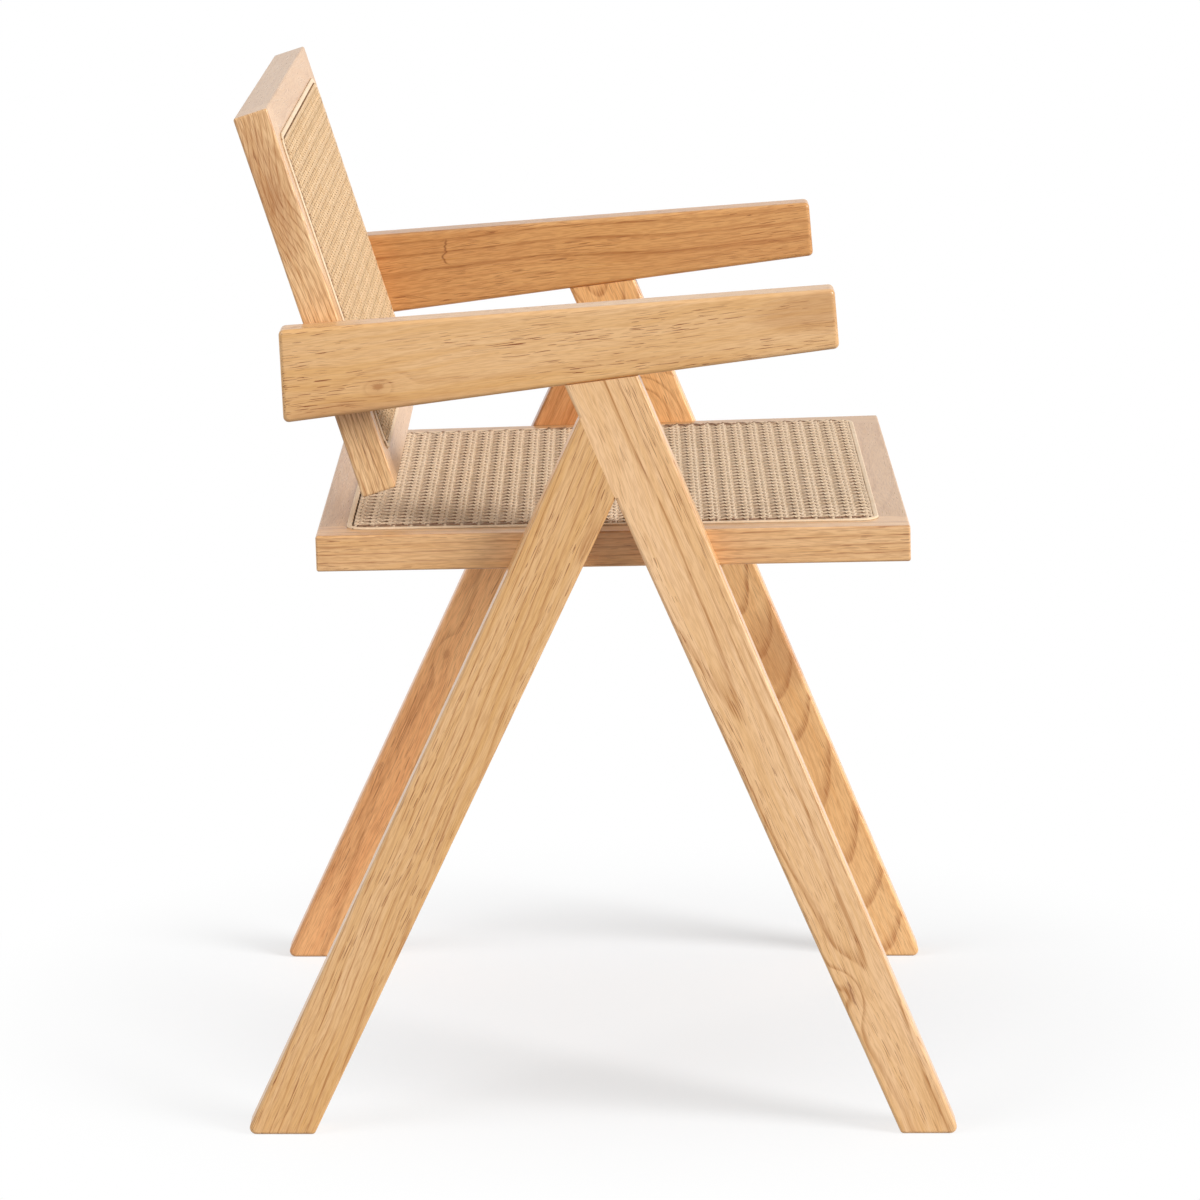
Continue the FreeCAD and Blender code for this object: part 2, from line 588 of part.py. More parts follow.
class BoltPlace:
    """Where one bolt goes: the joint face, the board's inner face, and its place in side view."""

    def __init__(self, number, face, width):
        self.number = number
        self.face = face
        self.y = "Layout.bolt_%d_y" % number
        self.z = "Layout.bolt_%d_z" % number
        self.board_face = "(%s - %s)" % (face, width)
        self.seat = "(%s + Layout.counterbore_depth)" % self.board_face

    def rod(self, what, radius, x_from, x_to):
        return rod("%s_%d" % (what, self.number), radius, x_from, x_to, self.y, self.z)

    def board_hole(self):
        bore = self.rod("bolt_hole", "Layout.bolt_radius + Sizes.bolt_hole_clearance",
                        self.board_face + " - Sizes.overrun", self.face + " + Sizes.overrun")
        pocket = self.rod("counterbore", "Sizes.washer_diameter / 2 + Sizes.counterbore_clearance",
                          self.board_face + " - Sizes.overrun", self.seat)
        return fuse("bolt_bore_%d" % self.number, [bore, pocket])

    def insert_hole(self):
        return self.rod("insert_hole", "Sizes.insert_diameter / 2", self.face + " - Sizes.overrun",
                        self.face + " + Layout.insert_end + Sizes.insert_end_gap")

    def bolt(self):
        head_face = "(%s - Layout.bolt_stack)" % self.seat
        head = self.rod("bolt_head", "Sizes.bolt_head_diameter / 2", head_face,
                        head_face + " + Sizes.bolt_head_height")
        shank = self.rod("bolt_shank", "Layout.bolt_radius", head_face + " + Sizes.bolt_socket_depth",
                         self.face + " + Layout.insert_end - Sizes.bolt_end_gap")
        key = doc.addObject("Part::Prism", "bolt_key_%d" % self.number)
        key.Polygon = 6
        key.Placement = Placement(Vector(), Rotation(Vector(0, 1, 0), 90))
        key.setExpression("Circumradius", "Sizes.bolt_socket_size / sqrt(3)")
        key.setExpression("Height", "Sizes.bolt_socket_depth + Sizes.overrun")
        key.setExpression("Placement.Base.x", head_face + " - Sizes.overrun")
        key.setExpression("Placement.Base.y", self.y)
        key.setExpression("Placement.Base.z", self.z)
        return cut("bolt_%d" % self.number, fuse("bolt_blank_%d" % self.number, [head, shank]), key)

    def washer(self):
        start = self.seat + " - Sizes.washer_thickness"
        disc = self.rod("washer_disc", "Sizes.washer_diameter / 2", start, self.seat)
        bore = self.rod("washer_bore", "Layout.bolt_radius + Sizes.bolt_hole_clearance",
                        start + " - Sizes.overrun", self.seat + " + Sizes.overrun")
        return cut("washer_%d" % self.number, disc, bore)

    def insert(self):
        start = self.face + " + Sizes.insert_recess"
        end = self.face + " + Layout.insert_end"
        barrel = self.rod("insert_barrel", "Sizes.insert_diameter / 2", start, end)
        bore = self.rod("insert_bore", "Layout.bolt_radius + Sizes.bolt_thread_clearance",
                        start + " - Sizes.overrun", end + " + Sizes.overrun")
        return cut("insert_%d" % self.number, barrel, bore)


# Dowels of the side frames

MID_LEG = "(Layout.inner_face + Layout.outer_face) / 2"


def side_frame_dowels(what):
    """Dowels, or holes for them, of the leg joint and of the armrest, on the left."""
    hole = what == "hole"
    radius = "Layout.dowel_hole_radius" if hole else "Layout.dowel_radius"
    gap = "Sizes.dowel_end_gap" if hole else "0"
    joint = []
    arm = []
    for number in range(2):
        # square to the front leg's rear edge, out of the front leg into the rear leg
        up = "(Sizes.joint_dowel_inset + %d * Sizes.joint_dowel_spacing)" % number
        back = "(Sizes.joint_dowel_leg_depth + %s)" % gap
        y = "Layout.crotch_y - Layout.down_y * %s + Layout.down_z * %s" % (up, back)
        z = "Layout.crotch_z - Layout.down_z * %s - Layout.down_y * %s" % (up, back)
        height = "%s + Sizes.joint_dowel_foot_depth + %s" % (back, gap)
        joint.append(slanted_rod("joint_%s_%d" % (what, number), radius, height, MID_LEG, y, z,
                                 "atan2(Layout.down_z; Layout.down_y)"))
        # square to the armrest's underside, out of the front leg up into the armrest
        along = "(%d - 0.5) * Sizes.arm_dowel_spacing" % number
        below = "(Sizes.arm_dowel_depth + %s)" % gap
        turn = "atan2(Layout.arm_under_grade; 1)"
        y = "(Layout.head_front_y + Layout.head_rear_y) / 2 + cos(%s) * %s + sin(%s) * %s" % (
            turn, along, turn, below)
        z = "(Layout.head_front_z + Layout.head_rear_z) / 2 + sin(%s) * %s - cos(%s) * %s" % (
            turn, along, turn, below)
        arm.append(slanted_rod("arm_%s_%d" % (what, number), radius, "2 * " + below, MID_LEG, y, z, turn))
    return joint, arm


# Side frames

def long_edge(body_top):
    """Test for the edges of a side-frame board on its outer or inner face."""
    inner = value("Layout.inner_face")
    outer = value("Layout.outer_face")

    def wanted(one, other):
        on_face = near(one.x, other.x) and (near(one.x, inner) or near(one.x, outer))
        at_top = all(any(at_place(point, y, z) for y, z in body_top) for point in (one, other))
        return on_face and not at_top

    return wanted


def across_edge(y, z):
    """Test for the edge along x at one corner of the side view."""
    return lambda one, other: at_place(one, y, z) and at_place(other, y, z)


def make_front_leg():
    top = (("Layout.head_rear_y", "Layout.head_rear_z"), ("Layout.head_front_y", "Layout.head_front_z"))
    corners = (("Layout.toe_y", "0"), ("Layout.instep_y", "0")) + top
    body = board("front_leg", "YZ_Plane", corners, "Layout.inner_face", "Sizes.leg_thickness")
    round_edges(body, "Sizes.foot_point_radius", across_edge("Layout.toe_y", "0"))
    round_edges(body, "Sizes.foot_blunt_radius", across_edge("Layout.instep_y", "0"))
    return round_edges(body, "Sizes.leg_arris_radius", long_edge(top))


def make_joint_flat():
    """Fills the rounding of the front leg's rear edge where the rear leg is glued to it flush."""
    depth = "2 * Sizes.leg_arris_radius"
    corners = (
        ("Layout.crotch_y", "Layout.crotch_z"),
        ("Layout.joint_top_y", "Layout.joint_top_z"),
        ("Layout.joint_top_y + Layout.down_z * " + depth, "Layout.joint_top_z - Layout.down_y * " + depth),
        ("Layout.crotch_y + Layout.down_z * " + depth, "Layout.crotch_z - Layout.down_y * " + depth),
    )
    return board("joint_flat", "YZ_Plane", corners, "Layout.inner_face", "Sizes.leg_thickness")


def make_rear_leg():
    top = (("Layout.crotch_y", "Layout.crotch_z"), ("Layout.joint_top_y", "Layout.joint_top_z"))
    corners = (("Layout.heel_y", "0"), ("Layout.arch_y", "0")) + top
    body = board("rear_leg", "YZ_Plane", corners, "Layout.inner_face", "Sizes.leg_thickness")
    round_edges(body, "Sizes.foot_point_radius", across_edge("Layout.heel_y", "0"))
    round_edges(body, "Sizes.foot_blunt_radius", across_edge("Layout.arch_y", "0"))
    return round_edges(body, "Sizes.leg_arris_radius", long_edge(top))


def make_armrest():
    corners = [("Layout.arm_%s_y" % key, "Layout.arm_%s_z" % key) for key in ("ft", "fb", "rb", "rt")]
    body = board("armrest", "YZ_Plane", corners, "Layout.inner_face", "Sizes.leg_thickness")

    def any_corner(one, other):
        return not near(one.x, other.x)

    round_edges(body, "Sizes.arm_corner_radius", any_corner)
    return round_edges(body, "Sizes.arm_arris_radius", long_edge(()))


seat = CaneFrame("seat", "Layout.seat_half_near", "Layout.seat_half_far")
back = CaneFrame("back", "Layout.back_half", "Layout.back_half")

seat_bolts = [BoltPlace(1, "Layout.seat_face_1", seat.width), BoltPlace(2, "Layout.seat_face_2", seat.width)]
back_bolts = [BoltPlace(3, "Layout.back_half", back.width), BoltPlace(4, "Layout.back_half", back.width)]

# seat frame
seat_bores = fuse("seat_bores", [place.board_hole() for place in seat_bolts])
seat_outline, seat_boards = make_cane_frame(seat, seat_bores)
node_pair("seat_side_rail", seat_boards["side"])
node("seat_front_rail", seat_boards["near"])
node("seat_rear_rail", seat_boards["far"])
node("seat_cane", make_cane(seat, seat_outline))
node("seat_spline", make_spline(seat, seat_outline))

# back frame
back_bores = fuse("back_bores", [place.board_hole() for place in back_bolts])
back_outline, back_boards = make_cane_frame(back, back_bores)
node_pair("back_stile", back_boards["side"])
node("back_bottom_rail", back_boards["near"])
node("back_top_rail", back_boards["far"])
node("back_cane", make_cane(back, back_outline))
node("back_spline", make_spline(back, back_outline))

# side frames: the housing for the seat is the seat's side board, a clearance thicker
housing_corners, housing_start, housing_thickness = side_board(seat, "Sizes.housing_clearance")
housing = board("housing", "XY_Plane", housing_corners, housing_start, housing_thickness)
put_in_frame(housing, "seat")
joint_holes, arm_holes = side_frame_dowels("hole")
front_leg_tools = fuse("front_leg_tools", [housing, seat_bolts[0].insert_hole()] + joint_holes + arm_holes)
rear_leg_tools = fuse("rear_leg_tools", [housing, seat_bolts[1].insert_hole()] + joint_holes)
armrest_tools = fuse("armrest_tools", [place.insert_hole() for place in back_bolts] + arm_holes)
front_leg_blank = fuse("front_leg_blank", [make_front_leg(), make_joint_flat()])
node_pair("front_leg", cut("front_leg", front_leg_blank, front_leg_tools))
node_pair("rear_leg", cut("rear_leg", make_rear_leg(), rear_leg_tools))
node_pair("armrest", cut("armrest", make_armrest(), armrest_tools))

# dowels
joint_dowels, arm_dowels = side_frame_dowels("dowel")
node_group("leg_joint_dowels", joint_dowels)
node_group("arm_dowels", arm_dowels)
for frame in (seat, back):
    dowels = group(frame.name + "_dowels_flat", corner_dowels(frame, "dowel"))
    node_group(frame.name + "_frame_dowels", [put_in_frame(dowels, frame.name)])

# bolts, washers and threaded inserts
for name, places in (("seat", seat_bolts), ("back", back_bolts)):
    node_group(name + "_bolts", [place.bolt() for place in places])
    node_group(name + "_bolt_washers", [place.washer() for place in places])
    node_group(name + "_threaded_inserts", [place.insert() for place in places])

doc.recompute()

# Checks, then one STEP file for each node
for item in doc.Objects:
    for state in item.State:
        if state in ("Invalid", "Error"):
            raise RuntimeError("%s is %s" % (item.Label, state))
for name, piece in nodes.items():
    if piece.Shape.isNull() or not piece.Shape.isValid() or not piece.Shape.Solids:
        raise RuntimeError("%s has no good shape" % name)

os.makedirs("parts", exist_ok=True)
whole = FreeCAD.BoundBox()
for name, piece in sorted(nodes.items()):
    piece.Shape.exportStep("parts/%s.step" % name)
    whole.add(piece.Shape.BoundBox)
    print("%-24s %2d solids %10.1f mm3" % (name, len(piece.Shape.Solids), piece.Shape.Volume))
print("box", whole)
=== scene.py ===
# %% [markdown]
# # A wooden armchair with a woven cane seat and back
#
# The solid model gives every board, dowel, bolt and spline its shape and place. This lesson
# loads it, gives each wooden board its own grain, and weaves the two cane panels strand by
# strand, because a cane panel is all holes and shadows and no flat picture of one looks right.
# Lengths are in metres, +Z is up, the chair faces -Y, and +X is the sitter's left.

# %% Load the solid model
import math

import bpy
import numpy as np
from mathutils import Matrix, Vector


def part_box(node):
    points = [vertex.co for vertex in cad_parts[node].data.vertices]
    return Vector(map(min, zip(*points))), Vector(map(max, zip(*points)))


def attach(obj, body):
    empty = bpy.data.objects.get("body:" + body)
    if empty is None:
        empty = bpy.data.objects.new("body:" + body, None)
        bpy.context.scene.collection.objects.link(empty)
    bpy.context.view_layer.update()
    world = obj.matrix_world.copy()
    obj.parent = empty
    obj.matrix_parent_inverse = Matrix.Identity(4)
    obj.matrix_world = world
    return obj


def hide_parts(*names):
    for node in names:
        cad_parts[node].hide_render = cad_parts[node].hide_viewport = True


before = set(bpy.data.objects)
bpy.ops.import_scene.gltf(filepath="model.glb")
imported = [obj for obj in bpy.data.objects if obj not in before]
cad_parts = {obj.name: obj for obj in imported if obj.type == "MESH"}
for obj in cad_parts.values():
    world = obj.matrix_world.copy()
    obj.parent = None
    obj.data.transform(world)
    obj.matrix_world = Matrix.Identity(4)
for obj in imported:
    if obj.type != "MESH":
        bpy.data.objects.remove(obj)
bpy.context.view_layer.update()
MM = 0.001

# %% [markdown]
# ## Camera
#
# The photograph was taken from the sitter's right, a little above the armrests, with a long
# lens. The place, the angles and the focal length were found by fitting the corners of the
# boards to the picture, so they are plain numbers here. A camera looks along its own -Z axis,
# so its three axes are worked out from the direction of view and put into a matrix.

# %% Camera
CAMERA_PLACE = np.array([-3.9027, -0.0080, 1.1767])
CAMERA_PITCH, CAMERA_YAW, CAMERA_ROLL = np.radians([11.865, 0.14, -0.127])
FOCAL_PIXELS = 5064.0
IMAGE_PIXELS = 1200.0
SENSOR_MM = 36.0


def stand(item, right, up, back, place=(0.0, 0.0, 0.0)):
    """Links a camera or lamp to the scene, with its three axes and its place as one matrix."""
    turn = np.eye(4)
    turn[:3] = np.stack([right, up, back, place], axis=1)
    item.matrix_world = Matrix(turn.tolist())
    bpy.context.scene.collection.objects.link(item)


view = np.array([math.cos(CAMERA_PITCH) * math.cos(CAMERA_YAW),
                 math.cos(CAMERA_PITCH) * math.sin(CAMERA_YAW),
                 -math.sin(CAMERA_PITCH)])
unrolled = np.array([math.sin(CAMERA_YAW), -math.cos(CAMERA_YAW), 0.0])
right = unrolled * math.cos(CAMERA_ROLL) + np.cross(unrolled, view) * math.sin(CAMERA_ROLL)

lens = bpy.data.cameras.new("camera")
lens.sensor_fit = "HORIZONTAL"
lens.sensor_width = SENSOR_MM
lens.lens = lens.sensor_width * FOCAL_PIXELS / IMAGE_PIXELS
lens.clip_start = 0.1
lens.clip_end = 200.0
camera = bpy.data.objects.new("camera", lens)
stand(camera, right, np.cross(right, view), -view, CAMERA_PLACE)
bpy.context.scene.camera = camera
print("lens", round(lens.lens, 1), "mm")

# %% [markdown]
# ## Shader sums written as Python
#
# A procedural material is mostly arithmetic. Wiring each Math node by hand hides the formula,
# so a small class wraps one output socket and adds the Math nodes for + - * / itself. The
# other class is a material under construction. One of its methods makes any node, and the
# others are short names for the nodes that this chair needs again and again.


# %% Sockets with operators, and a material under construction
class Value:
    """One output of a node, used in sums like a number."""

    def __init__(self, finish, socket):
        self.finish = finish
        self.socket = socket

    def math(self, operation, *others):
        """A Math node that takes this output first."""
        inputs = dict(enumerate((self, *others)))
        return self.finish.node("ShaderNodeMath", {"operation": operation}, inputs)

    def __add__(self, other):
        return self.math("ADD", other)

    def __sub__(self, other):
        return self.math("SUBTRACT", other)

    def __rsub__(self, other):
        return self.finish.node("ShaderNodeMath", {"operation": "SUBTRACT"}, {0: other, 1: self})

    def __mul__(self, other):
        return self.math("MULTIPLY", other)

    def __truediv__(self, other):
        return self.math("DIVIDE", other)

    def __pow__(self, other):
        return self.math("POWER", other)

    def __abs__(self):
        return self.math("ABSOLUTE")

    __radd__ = __add__
    __rmul__ = __mul__


class Finish:
    """A material whose nodes are added one after another."""

    def __init__(self, name):
        self.material = bpy.data.materials.new(name)
        self.material.use_nodes = True
        self.tree = self.material.node_tree
        self.tree.nodes.clear()

    def node(self, kind, settings=None, inputs=None, output=0):
        """Any node: its type, its settings, and the values or links of its sockets."""
        made = self.tree.nodes.new(kind)
        for key, value in (settings or {}).items():
            setattr(made, key, value)
        for key, value in (inputs or {}).items():
            if isinstance(value, Value):
                self.tree.links.new(value.socket, made.inputs[key])
            else:
                made.inputs[key].default_value = value
        return Value(self, made.outputs[output])

    def blend(self, share, first, second):
        """Colour between two colours."""
        settings = {"data_type": "RGBA"}
        return self.node("ShaderNodeMix", settings, {0: share, 6: first, 7: second}, 2)

    def step(self, value, low, high):
        """0 below low, 1 above high, and a smooth rise between."""
        settings = {"interpolation_type": "SMOOTHSTEP"}
        inputs = {"Value": value, "From Min": low, "From Max": high}
        return self.node("ShaderNodeMapRange", settings, inputs)

    def place(self, x, y, z):
        """Three numbers as one place."""
        return self.node("ShaderNodeCombineXYZ", None, {0: x, 1: y, 2: z})

    def parts(self, place):
        """The three numbers of a place, the reverse of place()."""
        split = self.node("ShaderNodeSeparateXYZ", None, {0: place}).socket.node
        return [Value(self, split.outputs[i]) for i in range(3)]

    def object_place(self):
        """Where a point lies on the chair, in metres."""
        return self.node("ShaderNodeTexCoord", None, None, "Object")

    def noise(self, place, scale, detail=2.0, roughness=0.5):
        """Smooth noise round 0.5, with about scale changes to a unit of place."""
        inputs = {"Vector": place, "Scale": scale, "Detail": detail, "Roughness": roughness}
        return self.node("ShaderNodeTexNoise", None, inputs)

    def along(self, place, direction, start):
        """How far a place lies along a direction, from a start, in metres."""
        settings, inputs = {"operation": "DOT_PRODUCT"}, {0: place, 1: tuple(direction)}
        reach = self.node("ShaderNodeVectorMath", settings, inputs, "Value")
        return reach - float(np.dot(direction, start))

    def bump(self, strength, distance, height):
        """A normal tilted as if the surface rose and fell by distance metres."""
        inputs = {"Strength": strength, "Distance": distance, "Height": height}
        return self.node("ShaderNodeBump", None, inputs)

    def end(self, shader):
        """The material, finished with this shader."""
        out = self.tree.nodes.new("ShaderNodeOutputMaterial")
        self.tree.links.new(shader.socket, out.inputs["Surface"])
        return self.material

    def surface(self, inputs):
        """The material, finished with one Principled shader."""
        return self.end(self.node("ShaderNodeBsdfPrincipled", None, inputs))


def colour(text):
    """A colour written as it looks, such as D8A973, as the linear light that shaders use."""
    seen = [int(text[i:i + 2], 16) / 255 for i in (0, 2, 4)]
    light = [c / 12.92 if c <= 0.04045 else ((c + 0.055) / 1.055) ** 2.4 for c in seen]
    return (*light, 1.0)


def tinted(text, shares):
    """A colour whose red, green and blue light are multiplied by three shares."""
    return tuple(light * share for light, share in zip(colour(text), shares)) + (1.0,)


print("shader sums ready")

# %% [markdown]
# ## Which way the grain runs
#
# Grain follows the long way of every board, and the boards here stand at all angles. The
# direction could be typed in for each, but the board's own mesh already knows it: the spread
# of its surface has three main directions, and the longest one is the grain.

# %% Directions of a board
# a main direction could point either way, so each is turned to the side of this one
SIGN_GUIDE = np.array([0.31, 0.95, 0.47])


def board_axes(name):
    """Middle of a board and its unit directions along, across and through it.

    With c the triangles' centres and a their areas, the 3 x 3 table sum(a (c - m)(c - m)^T)
    has these directions as eigenvectors, in the order of their spread.
    """
    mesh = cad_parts[name].data
    points = np.empty(len(mesh.vertices) * 3)
    mesh.vertices.foreach_get("co", points)
    mesh.calc_loop_triangles()
    corners = np.empty(len(mesh.loop_triangles) * 3, int)
    mesh.loop_triangles.foreach_get("vertices", corners)
    triangles = points.reshape(-1, 3)[corners.reshape(-1, 3)]
    first, second, third = triangles.transpose(1, 0, 2)
    area = np.linalg.norm(np.cross(second - first, third - first), axis=1)
    centres = triangles.mean(axis=1)
    middle = (centres * area[:, None]).sum(0) / area.sum()
    off = centres - middle
    spread = (off * area[:, None]).T @ off
    directions = np.linalg.eigh(spread)[1].T[::-1]
    return middle, directions * np.sign(directions @ SIGN_GUIDE)[:, None]


for name in ("front_leg_right", "armrest_right", "seat_front_rail"):
    print(name, "grain along", board_axes(name)[1][0].round(3))

# %% [markdown]
# ## Wood
#
# A board is a slice of a tree, and its pattern comes from where the slice lies. So the grain is
# a solid texture: rings round a pith line that passes beside the board and runs a little askew
# to it. Where the face cuts the rings flat it shows arches, and elsewhere straight lines. All
# of it is worked out in distances along, across and through the board, so a class keeps them.


# %% Distances in a board
class Board:
    """One board's material in the making, and the distances u along, v across, w through it.

    They are in metres from the board's middle. A board that shows its narrow side is turned:
    what board_axes calls through it is across it here.
    """

    def __init__(self, name, seed, turned):
        self.finish = Finish(name + "_wood")
        self.seed = seed
        self.middle, (self.lengthwise, self.crosswise, through) = board_axes(name)
        if turned:
            self.crosswise, through = through, self.crosswise
        place = self.finish.object_place()
        self.u = self.finish.along(place, self.lengthwise, self.middle)
        self.v = self.finish.along(place, self.crosswise, self.middle)
        self.w = self.finish.along(place, through, self.middle)

    def from_mark(self, mark):
        """Distances along and across the board from a mark on it."""
        off = mark - self.middle
        return (self.u - float(np.dot(self.lengthwise, off)),
                self.v - float(np.dot(self.crosswise, off)))

    def fibres(self, per_length, per_width, detail, roughness=0.5, bend=None):
        """Noise drawn out along the grain: noise(per_length u, per_width v + bend, per_width w).

        The two numbers say how many changes there are in a metre along and across the board.
        """
        across = self.v * per_width
        if bend is not None:
            across = across + bend
        place = self.finish.place(self.u * per_length + self.seed, across, self.w * per_width)
        return self.finish.noise(place, 1.0, detail, roughness)


print("front_leg_right is measured from", board_axes("front_leg_right")[0].round(3))

# %% [markdown]
# A knot is the foot of a branch. The rings bend round it, so it is a bump in the ring number,
# and it has a dark ragged heart with a darker tone round it. A check is a short crack from
# drying, a dark line with a little wobble. Both are put where the real board has one.

# %% Rings, knots and checks
KNOT_STRETCH = 3.0
KNOT_GLOW = 0.12
KNOT_POINTS = 3.6


def ring_number(board, pith, skew, tilt, ring):
    """Rings counted from the pith: sqrt((v - pv - skew u)^2 + (w - pw - tilt u)^2) / ring."""
    side = board.v - pith[0] - board.u * skew
    deepness = board.w - pith[1] - board.u * tilt
    return (side * side + deepness * deepness) ** 0.5 / ring


def knot(board, mark, size, wavy):
    """A knot's glow and its ragged heart, each from 0 to 1.

    With d^2 = (du^2 / KNOT_STRETCH + dv^2) / size^2, the glow is exp(-KNOT_GLOW d^2), and the
    heart is where d^2 (2.4 - 2.6 star) is small. The star is noise of the direction alone.
    """
    finish = board.finish
    du, dv = board.from_mark(mark)
    far = (du * du / KNOT_STRETCH + dv * dv) / (size * size)
    glow = (far * -KNOT_GLOW).math("EXPONENT")
    reach = far ** 0.5 * size
    round_it = finish.place(du / reach * KNOT_POINTS + board.seed, dv / reach * KNOT_POINTS, 0.0)
    star = finish.noise(round_it, 1.0, 2.0)
    return glow, finish.step(far * (2.4 - star * 2.6) + wavy, 1.6, 0.7)


def check(board, mark, reach, width, lengthwise):
    """A crack, from 0 to 1: exp(-(off / width)^2), and nothing further than reach from its mark.

    off is the distance from the crack's line, which wobbles, and runs along or across the board.
    """
    finish = board.finish
    du, dv = board.from_mark(mark)
    if lengthwise:
        off, along, turns, wobble = dv, board.u, 60.0, 0.008
    else:
        off, along, turns, wobble = du, board.v, 150.0, 0.016
    sideways = finish.noise(finish.place(along * turns, board.seed, 0.0), 1.0, 2.0) - 0.5
    off = (off + sideways * wobble) / width
    line = (off * off * -1.0).math("EXPONENT")
    return line * finish.step(du * du + dv * dv, reach * reach, reach * reach * 0.4)


print("a knot is", round(KNOT_STRETCH ** 0.5, 2), "times as long as it is wide")

# %% [markdown]
# The finish itself goes from broad tones down to the finest marks. Every ring ends in a band of
# fine dark hairs and crowded pores. Between them lie soft short ticks and streaks, and over it
# all is a satin lacquer, a little duller where the wood is open.

# %% Wood finish
USUAL_SWAY = 2.6
FIBRE_BEND = 9.0
PORE_TINT = (0.52, 0.32, 0.22)
KNOT_TINT = (0.85, 0.75, 0.65)


def wood(name, pith, skew, ring, pale, middling, deep, seed, tilt=0.0, turned=False,
         sway=USUAL_SWAY, lines=0.5, pores=0.6, ticks=0.3, knots=(), checks=(), stains_and_shade=()):
    """Light satin wood for one board, of the tones pale, middling and deep.

    Rings: ring_number with slow noise, pushed by sway, and a bump at each knot. The fraction
    of the ring number from 0.66 to 1 is the dark late wood, drawn as strongly as lines says.
    Tones: pale to middling by clouds, streaks and hairs. A stain, or a painted shade, is deep
    where (du / length)^2 + (dv / breadth)^2 and some noise stay below about 1.
    Ticks are soft short cells of noise, and pores small sharp ones that crowd in late wood.
    ticks and pores say how strong they are.
    """
    board = Board(name, seed, turned)
    finish = board.finish
    slow = board.fibres(4.0, 15.0, 1.0)
    wavy = board.fibres(16.0, 50.0, 2.0)
    rings = ring_number(board, pith, skew, tilt, ring) + slow * sway + wavy * 0.2
    grown = []
    for mark, size, strength, bump in knots:
        glow, heart = knot(board, mark, size, wavy)
        rings = rings + glow * bump
        grown.append((glow * glow * strength, heart * strength))
    part = rings.math("FRACT")
    late = finish.step(part, 0.66, 0.92) * (1.0 - finish.step(part, 0.92, 1.0))

    # fine marks, which bend with the rings
    bent = slow * (FIBRE_BEND * sway / USUAL_SWAY) + wavy * 1.5
    hair = board.fibres(20.0, 800.0, 3.0, 0.65, bent * 2.0)
    streak = board.fibres(4.0, 170.0, 3.0, 0.6, bent)
    tick = board.fibres(85.0, 1200.0, 1.0, 0.5, bent * 3.0)
    dash = board.fibres(65.0, 1600.0, 0.0, 0.5, bent * 3.0)
    crowds = finish.place(board.u * 7.0, board.v * 60.0 + seed, board.w * 60.0)
    crowd = finish.noise(crowds, 1.0, 2.0) + late * 0.12
    pore = finish.step(dash, 0.68, 0.715) * finish.step(crowd, 0.36, 0.64) * pores

    # tones, from the broadest to the darkest
    cloud = finish.step(board.fibres(3.0, 14.0, 2.0), 0.34, 0.66)
    fine = finish.step(hair, 0.36, 0.66)
    tone = cloud * 0.42 + finish.step(streak, 0.36, 0.66) * 0.38 + fine * 0.2
    shown = finish.blend(tone, colour(pale), colour(middling))
    # a stain darkens the board's colour; on the near armrest one is painted shade
    for mark, length, breadth, strength in stains_and_shade:
        du, dv = board.from_mark(mark)
        far = (du / length) ** 2.0 + (dv / breadth) ** 2.0 + (slow - 0.5) * 2.0 + (wavy - 0.5)
        shown = finish.blend(finish.step(far, 1.3, 0.1) * strength, shown, colour(deep))
    shown = finish.blend(late * (0.3 + fine * 0.7) * lines, shown, colour(deep))
    for glow, heart in grown:
        shown = finish.blend(glow * 0.35, shown, colour(deep))
    shown = finish.blend(finish.step(tick, 0.4, 0.64) * ticks, shown, colour(deep))
    shown = finish.blend(pore * 0.8, shown, tinted(deep, PORE_TINT))
    for glow, heart in grown:
        shown = finish.blend(heart * 0.75, shown, tinted(deep, KNOT_TINT))
    for mark, reach, width, lengthwise in checks:
        crack = check(board, mark, reach, width, lengthwise)
        shown = finish.blend(crack * 0.65, shown, tinted(deep, PORE_TINT))

    normal = finish.bump(0.12, 0.0004, hair * 0.35 + late * 0.15 - pore * 0.9)
    gloss = 0.23 + hair * 0.12 + pore * 0.1
    inputs = {"Base Color": shown, "Roughness": gloss, "Normal": normal, "IOR": 1.48}
    return finish.surface(inputs)


def spot(y, z):
    """A place on the side of the chair, from millimetres."""
    return np.array([0.0, y, z]) * MM


print("slow noise pushes the rings by up to", USUAL_SWAY, "rings")

# %% [markdown]
# Every board gets its own slice of the tree. The boards that the camera sees best have their
# pith, their tones and their marks set one by one: honey on the inside of the far boards, partly
# their own tone and partly painted shade and bounce light, paler tan on the near ones, arches on
# the far front leg, whose pith is tilted so that the rings leave its face one after another, and
# a knot, a crack or a darker patch where a board has one. The near armrest also has a painted
# shade along its lower edge.

# %% A finish for each board
NEAR = dict(pale="E8BE8E", middling="D9A768", deep="AB6F38")
# far boards: their own honey tone, warmed and darkened as painted shade and bounce light
FAR_TONE_AND_SHADE = dict(pale="E3AF71", middling="CE945A", deep="A0602C")
FRAME = dict(pale="DCB182", middling="CB9C67", deep="A36C3A", ring=0.006, pores=0.3)
